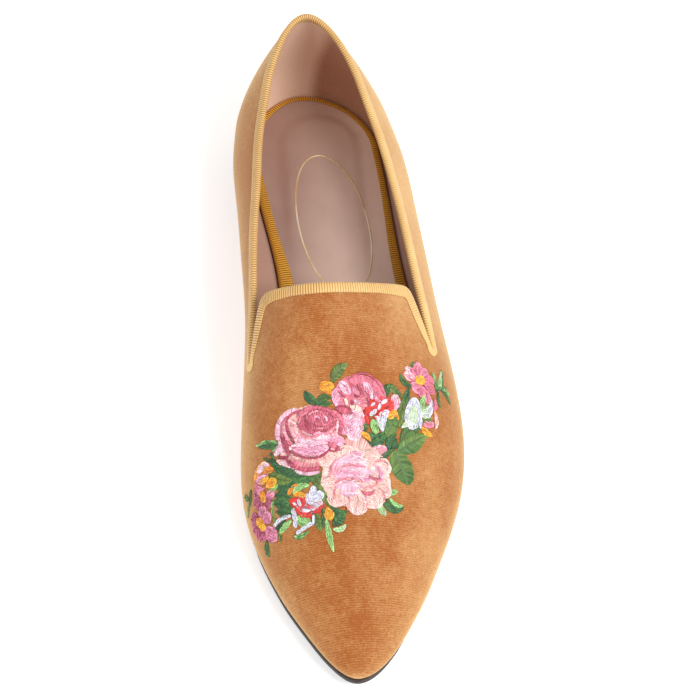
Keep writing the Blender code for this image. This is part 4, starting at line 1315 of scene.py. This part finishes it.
# %% The bottom rose
ROSE_BOTTOM = patches("""
round along -7.4 199.8  5 200.4  17.6 199.6  21 2 shell shell
petal along 1 197  -3 194.4  -7.4 195.4  7 3 peach shell
petal along 1 200  -3.4 200.8  -8 201.4  6 4 peach shell
petal along 2 203  -2 206  -3.4 210  8 3 peach shell
petal along 5 204  4 208.6  2.4 212.8  8 4 peach shell
petal along 8 204  10 207.5  11.2 210.8  7.5 3 peach shell
petal along 9 201  13.5 203.4  17.6 204  7 4 peach shell
petal along 8 197  13 196  18.6 197.2  7.5 3 peach shell
petal along 7 195  10.5 192.8  14.6 193  6 4 shell peach
petal along 4 196  3.4 192.4  3.6 189.2  8 3 shell peach
petal along 1 196  -2 193  -4.8 191.6  5 4 shell peach
round along 11.4 192  14.4 191  18.4 190  4 2 salmon pink
band along 12.4 190.4  15 189.2  18 189.6  1 3 blush blush
round along -2.6 199.6  2.4 197.4  9.4 197.4  9.5 5 pink blush
leaf across -3.4 202.4  1.6 203.6  6.6 203  4.2 5 blush pink
leaf along -1.6 196.8  3.6 193.8  9.6 195.4  3 6 lilac blush
leaf along -3 199.8  1.4 198.9  6.4 199.6  2.6 6 lilac pink
band along -2.4 198.2  2.6 196  9 196.8  0.5 7 salmon coral
band along -3 201.8  1.6 200.6  6.4 201.6  0.5 7 coral salmon
leaf along -2.2 203.4  1.6 202.4  5.2 203.4  1.9 6 lilac blush
leaf along -1.6 205  1.4 206  5.6 205.6  1.5 6 lilac blush
round along 4 192.4  6 191.9  8.2 192.6  1.7 5 lilac pink
leaf along 7.4 197.8  10 198.6  12.6 197.6  1.8 6 lilac blush
leaf along 6.2 200.4  8.4 201  10.4 200.4  1.9 6 lilac pink
leaf along 11.8 195.4  14.2 198.4  13.6 201.6  2.2 5 lilac pink
leaf along 9.6 199.8  11.8 200.7  14.4 200.8  1.3 7 rose coral
band along 12.4 201.4  11 203  7 204  0.6 7 coral salmon
leaf across 6 204.8  8.6 205.8  11.2 204.4  1.7 6 rose coral
band along 5.8 206.6  8.6 207.6  11.4 206  0.7 7 blush peach
round across 5.6 208.6  6.6 208.5  7.8 208.8  1.1 5 peach shell
leaf along -1.4 193.8  -3.8 196.8  -4.4 200.6  0.9 5 coral salmon
leaf along -2.6 202.4  -3.6 205.4  -3 209  0.8 5 coral salmon
leaf along 1.4 206.4  1 209  0.2 211.4  0.7 5 coral salmon
leaf along 7.2 207.4  7.4 209.4  7.2 211.4  0.7 5 coral salmon
leaf along 12.6 203.6  14.4 206  13.8 208.6  0.8 5 coral salmon
leaf along 12.2 195  15.4 194.2  18 195.4  0.7 5 coral salmon
""")

# %% The leaves
LEAVES = patches("""
leaf veined 0.8 168.2  3 164.6  7.2 162  4.2 1 moss olive
leaf veined -9.4 170  -8 172.8  -4.6 174.8  3.4 1 forest green
leaf veined -6 174.2  -3 172.9  -0.2 173.2  2.8 1 green moss
leaf veined -6.2 174.6  -3.4 175  -0.6 174.8  2.2 2 forest green
leaf veined 21.2 171.8  21.2 169.6  23.2 167.4  3 2 forest green
leaf veined 21.6 168.8  24.2 168.8  27.8 171.2  3.4 1 olive moss
leaf veined 28.2 163.2  29.4 165.6  33 166.4  2.6 1 green forest
leaf veined 31.6 167  29.2 171.2  27.2 174.4  2.6 1 forest green
leaf veined 28 171.4  26.4 176  24.4 182  3.2 2 moss olive
leaf veined 7.2 182.8  9.8 182.4  12.6 179.6  4.4 1 forest olive
leaf veined 10.4 184  13.4 186.8  18 184.2  4.6 1 forest green
leaf veined 11.6 188.6  15 187.6  18.6 185  3.6 2 forest green
leaf veined 18.4 191  19.8 187  22.8 184.4  3.4 1 forest green
leaf veined 18.8 185.6  21 181.6  24.6 178.8  5.6 2 olive green
leaf veined 20.2 189.8  21.6 188  22.6 186  2.6 3 forest green
leaf veined 22.4 190.4  28.6 186.8  36.6 182.6  7 1 green olive
leaf veined 24.2 187  28.4 182.6  34.2 180.8  4.2 2 moss green
round veined 20.4 190.6  23.4 195.8  24.8 201.4  10 1 olive green
leaf veined 14.8 193.4  17.2 192  20.2 189.8  2 3 forest green
leaf along 15.8 206.4  17.6 204.9  20.4 204.4  2.2 2 mint mint
leaf veined 13.6 208  17.4 210.4  21.8 209.6  3.4 1 green forest
leaf along 16.6 206.6  18.4 208.8  21.6 209.2  1.7 3 mint mint
leaf along 15.2 206.8  17.2 209.6  20.8 210.2  1.3 2 forest green
round along 11.6 209.8  13 211.2  14 213  2.8 2 mint pistachio
leaf veined -8 199  -6.6 205  -4 210.4  4.2 1 olive forest
leaf veined -12.4 198  -9.6 200  -7.6 204.8  3.8 1 moss olive
leaf veined -26 190.2  -17 197.6  -7.4 198  5.2 1 forest green
leaf veined -24 200.8  -17 199.8  -9 199.2  3 1 forest green
leaf veined -27.6 193.4  -23.6 196.8  -18.2 198.6  4.2 2 moss olive
leaf along -25 198.6  -22 201  -19.4 201.8  2.6 1 forest green
leaf veined -26.6 204.4  -22.6 206.4  -19.6 209  4.2 1 forest green
leaf along -27 203.4  -24 204  -20.2 205.8  1.2 2 forest green
leaf veined -26 201.8  -22.6 202.8  -19.4 204.4  3.2 1 forest green
leaf veined -26 207.2  -23 208.6  -19.8 209.6  3 1 forest green
leaf veined -9.8 200.6  -8.2 203.6  -8 207.4  3.2 1 moss olive
leaf veined -8.2 204.4  -5.8 207.4  -4.6 210.8  3.6 1 olive moss
leaf along -32.8 182.2  -27 183  -21.4 185  1.7 1 mint green
leaf along -31 183.2  -26 184.7  -21.4 186  1.9 2 forest green
leaf along -25.2 186.6  -24.2 186.4  -23.2 186  1.2 2 mint green
leaf along -29.2 187.4  -27.4 189  -25.2 190.4  1.4 1 moss forest
leaf along -25.6 186.8  -25 189.4  -23 192.4  1.4 1 forest green
leaf along -37.8 195.6  -39 198.4  -39.8 201  2.3 1 moss green
leaf along -43.6 195.4  -42 197  -40.2 198.8  2 1 olive moss
leaf along -43.6 203.4  -42 201.8  -40.4 200.2  2 1 mint olive
leaf along -32.4 215  -33 217.6  -32.4 220.6  2.8 1 moss green
leaf veined -11.6 210.4  -10.8 214  -10 217.4  3.2 1 moss olive
leaf along -8.2 209.4  -8.4 213  -9.4 216.6  1.6 2 olive forest
leaf veined -5.6 209.6  -3 212.2  0 211.6  3.6 1 forest green
leaf veined -5.4 216.2  -3 214  -0.8 211.8  4 2 forest green
leaf along -5.6 217.2  -3 217.6  -0.8 216  2 3 mint pistachio
leaf along -7.6 213.4  -7.2 219  -6.2 225  2.3 1 mint mint
leaf along 45.2 158.6  45.9 161.4  46 165  2.2 1 mint green
leaf along 47.4 164.2  49.4 160.8  51.6 156  2.3 1 mint pistachio
leaf along 45.4 165.2  49.6 162.8  53 162  1.4 2 forest green
leaf along 48.4 163.4  51.4 164.6  54 167.6  2 1 forest green
leaf along 49.6 163.6  52 163  54.4 164.2  2.2 1 olive mint
leaf along 46.9 165  46.1 168  46.4 171  1.8 1 forest olive
leaf along 52 155.4  51.4 158.6  50.6 162  1.2 2 olive forest
leaf along 33.4 160.2  34.6 158.8  35.8 157.4  1.6 1 olive moss
leaf along 34.6 177.8  37.4 177.6  40.2 175.8  1.8 3 moss olive
""")

# %% The blossoms and buds
BLOSSOMS = patches("""
blossom along 37.2 163.8  37.4 157  42 158.8  33 167.8  40.6 171  4.6 2 coral pink
blossom along 37.2 163.8  31 160.4  29.8 162.8  3.4 2 coral blush
blossom along 37.2 163.8  44.8 161.6  44.2 166  36.8 169.8  34.4 159.6  4 3 mauve coral
round along 34.8 164.4  37 163.5  39.6 162.6  3.4 5 yellow yellow
blossom along -31.4 200.6  -35.6 197.2  -36.8 201.6  -34.8 204.6  -28.2 205  3.6 2 deep mauve
blossom along -31.4 200.6  -26 201.2  -33 196.8  3.2 3 mauve pink
round along -31.6 198.4  -31.1 200.6  -30.4 202.6  2.6 5 orange yellow
blossom along -33.6 209  -39.4 204.6  -39.8 208.8  -37 213.6  -32.4 215  4.2 3 deep mauve
blossom along -33.6 209  -31.4 203.8  -28.6 207.6  -27.4 216.4  5 4 mauve pink
round along -36 207.2  -33.9 208.8  -32.2 211.8  3 6 orange yellow
band across -28.4 189.4  -33.4 190.8  -34.4 195  1.7 2 yellow orange
round along -33.4 193.6  -30.2 193.4  -26.4 194  6.4 1 pink orange
round along -32.6 191.8  -30 190.6  -27 191  3 3 blush blush
round along -33.4 193.6  -31.4 194.6  -29 194.2  3.2 3 pink blush
round along -29.4 192  -27.6 192.4  -25.2 193  2.6 4 orange orange
round along -31.6 195.6  -29.6 195.4  -27.6 195.2  1.8 5 yellow yellow
petal along -29.4 197.8  -27 197.4  -24.4 196.8  3.6 4 orange yellow
leaf along -34.4 194.6  -33 197.4  -30 198  2 3 mauve pink
leaf along -29.4 199.6  -26.6 199.8  -24 198.4  1.6 2 olive mint
round along -4.2 169  -1.6 169.2  1.2 169  3.4 2 orange yellow
round across -2.6 170.8  -1 171.3  0.6 171.4  1.9 2 orange orange
round along 12.4 178.8  17 174.9  23.8 174  5.2 3 red red
band along 12.2 182  12.3 177.6  14.8 175  2.4 3 red red
leaf along 14.6 180  19 177.6  23.4 174.6  2.2 4 red red
leaf along 13.8 175.8  14.8 175  16 174.4  1 5 white white
leaf along 16.6 176.8  17.3 175.6  17.8 174.4  1.2 5 white white
leaf along 18 174.5  19.5 173.7  21 172.8  1.3 5 white white
leaf along 13 179  14.4 177.9  16.2 176.6  1.5 5 white white
leaf along 21 176.6  17.8 179.6  17.2 184.2  3.4 5 white white
leaf along 15 179.2  16.6 180.4  17.4 183.6  2.2 4 white white
round along 14.6 180.2  14.3 182.4  14.8 185  3.2 5 mint mint
leaf along 14.9 181.4  15.1 182.8  15 184.2  0.8 6 olive olive
round along 20.2 179.2  22.2 177.6  24.6 176.6  2.7 4 orange yellow
round across 23.4 177  24.3 178  24.3 179.4  1.3 4 orange orange
petal along 23.6 176.2  24.2 173.6  25 170.6  4 3 pink blush
leaf along 8.6 185.2  10.6 185.6  12 187.8  2 4 yellow orange
round along 27.8 181  31.2 176.8  33.6 170.2  6.8 3 white white
round along 29.4 179.4  31.2 176.8  32.4 173.4  4.2 4 pistachio pistachio
band along 33.8 171.2  34.8 175  33.4 180.8  1.4 5 white white
leaf along 25.2 182  28 180.2  30.8 179.4  1.9 5 pistachio white
round along 35.2 176  38.2 174.6  41.2 171.4  3.6 2 pistachio white
leaf along 35.2 174.8  36.4 171.8  38.2 168.4  2.6 4 mint mint
leaf along 39 175.6  40.5 172.4  41.6 169  1.6 4 white white
leaf along 41.6 179.2  42.8 176  42.2 172.6  2 2 blush orange
leaf along 41.6 172.8  43.2 171  43.8 168.2  2.2 2 coral mauve
round along 35.4 179.2  38.2 178.6  41 177.8  2.5 3 coral pink
leaf along 34 180  36.2 181.6  39.2 182.4  2.8 3 orange yellow
round along -19 208  -14 207.6  -8.2 208.2  7 1 red white
round along -12.8 206  -11.2 203.8  -10.8 201.8  2.6 3 white white
round along -11.4 206.8  -9.4 205.6  -7.8 204.2  3.4 3 white white
round along -14.2 207  -12 205.8  -9 207  3 2 white white
round along -20 204.8  -17 206.6  -14 206  3.6 3 red red
leaf along -18.4 207.6  -15.6 210.6  -12.4 211.8  2.4 4 red red
leaf along -18.2 206.4  -16.8 208.8  -14.8 210.4  0.7 5 white red
leaf along -13.6 209.6  -12.4 209  -11 209.2  0.6 6 white red
leaf along -10.2 207.4  -9.4 208  -9 209  0.6 6 white red
round along -14 207.8  -11.6 208.7  -8.8 208.6  3.2 4 red white
leaf along -12.2 210.8  -10.4 210.5  -8.2 208.8  1.6 5 red red
leaf along -17 205.2  -16.6 206.6  -16 208.2  1.2 5 white white
leaf along -15.8 208.8  -14.4 209.7  -12.8 209.8  1.4 5 white white
round along -11.8 208  -10.7 208.4  -9.8 209.2  1.3 6 white white
leaf along -13.6 206.8  -12.6 207.6  -11 207.2  1 6 white white
leaf along -19.2 206  -18.2 206.6  -17.6 207.6  0.8 5 blush blush
leaf along -20.6 203.2  -18.6 201.4  -15.8 200.4  2 3 orange orange
leaf along -18.4 203.9  -16.2 203.7  -13.8 205.2  1.9 5 orange yellow
leaf along -18.6 203.4  -15.8 201.4  -12.2 201.6  2.5 4 mint mint
band along -19.4 208  -19 211  -19.2 214.6  1.7 3 white white
round along -17.6 210.6  -15.8 213  -13.4 214.2  4.2 2 mint mint
band along -19.2 216.6  -16 215.4  -12.4 214.2  1.4 4 white white
band along -12 211.4  -12.2 213  -12.4 214.8  0.9 4 white white
leaf along -20.2 217  -17.6 217.9  -14.2 216.4  1.7 3 mint green
band along -27.8 212  -25 210.4  -20.6 210.2  1.4 4 white white
leaf along -25.8 214.8  -23.4 213.2  -20.4 211.8  2.3 3 mint mint
leaf along -27.6 213.8  -25.4 212.4  -22.6 211  1.5 2 forest forest
band along -27 203.4  -27.8 207  -26.8 211  1.1 2 mint olive
leaf along -26.4 214  -25.8 215.6  -25.8 217.6  1.2 2 olive green
petal along -6.6 209.6  -6.5 211.8  -5.6 214  3.6 4 orange yellow
""")

# %% Work the spray
SPRAY = {"silk_leaves": LEAVES, "silk_rose_left": ROSE_LEFT, "silk_rose_top": ROSE_TOP,
         "silk_rose_bottom": ROSE_BOTTOM, "silk_blossoms": BLOSSOMS}
for seed, (name, worked) in enumerate(SPRAY.items(), start=1):
    embroider(name, worked, silk.material, seed)

# %% [markdown]
# ## Floor and light
# A pale floor and two soft boxes: a small one from the lateral side gives the ribs and the stitches their
# relief, and a large one from the medial side keeps the shadows light. The floor glows a little, so that it
# comes out as white as studio paper, and it is wide enough to fill a view from above all round.

# %% The stage
FLOOR_REACH, STUDIO_GLOW = 8000.0, 0.6
STAGE_MIDDLE = (0, 0, 20)

floor_finish = Finish("pale_floor", Roughness=0.9, Specular_IOR_Level=0.1, Base_Color=linear(246, 246, 246),
                      Emission_Color=linear(255, 255, 255), Emission_Strength=0.4)
corners = np.array([(-1, -1, 0), (1, -1, 0), (1, 1, 0), (-1, 1, 0)]) * FLOOR_REACH
ground = mesh_piece("floor", corners, np.array([[0, 1, 2, 3]]), floor_finish.material, outward=False)


def link(name, data):
    """A new object in the scene."""
    made = bpy.data.objects.new(name, data)
    bpy.context.scene.collection.objects.link(made)
    return made


def turned_to(place, aim):
    """The turn that points a light or a camera from its place to its aim."""
    return (Vector(aim) - Vector(place)).to_track_quat("-Z", "Y")


def soft_box(name, place, size, watts):
    """A square light at a place in millimetres, turned to the middle of the stage."""
    light = bpy.data.lights.new(name, "AREA")
    light.shape, light.size, light.energy = "SQUARE", size * MM, watts
    lamp = link(name, light)
    lamp.location = Vector(place) * MM
    lamp.rotation_euler = turned_to(place, STAGE_MIDDLE).to_euler()


soft_box("key", place=(450, -350, 850), size=400, watts=8)
soft_box("fill", place=(-700, -500, 800), size=900, watts=3)
world = bpy.data.worlds.new("studio")
world.use_nodes = True
background = world.node_tree.nodes["Background"].inputs
background["Color"].default_value, background["Strength"].default_value = (1, 1, 1, 1), STUDIO_GLOW
bpy.context.scene.world = world
bpy.context.scene.view_settings.view_transform = "Standard"

# %% [markdown]
# ## The camera
# The shoe is seen from above and a little from its toe and medial side, through a long lens, which keeps
# its outline close to a plan. The place and the aim give the direction, and the roll turns the shoe upright
# in the view.

# %% The camera
EYE, AIM, ROLL, LENS = (-72.7, -340.4, 606.2), (2.2, -3.9, 20.0), 8.39, 90.5
camera = link("camera", bpy.data.cameras.new("camera"))
turn = turned_to(EYE, AIM).to_matrix() @ Matrix.Rotation(np.radians(ROLL), 3, "Z")
camera.matrix_world = Matrix.Translation(Vector(EYE) * MM) @ turn.to_4x4()
camera.data.lens, camera.data.sensor_width = LENS, 36.0
bpy.context.scene.camera = camera
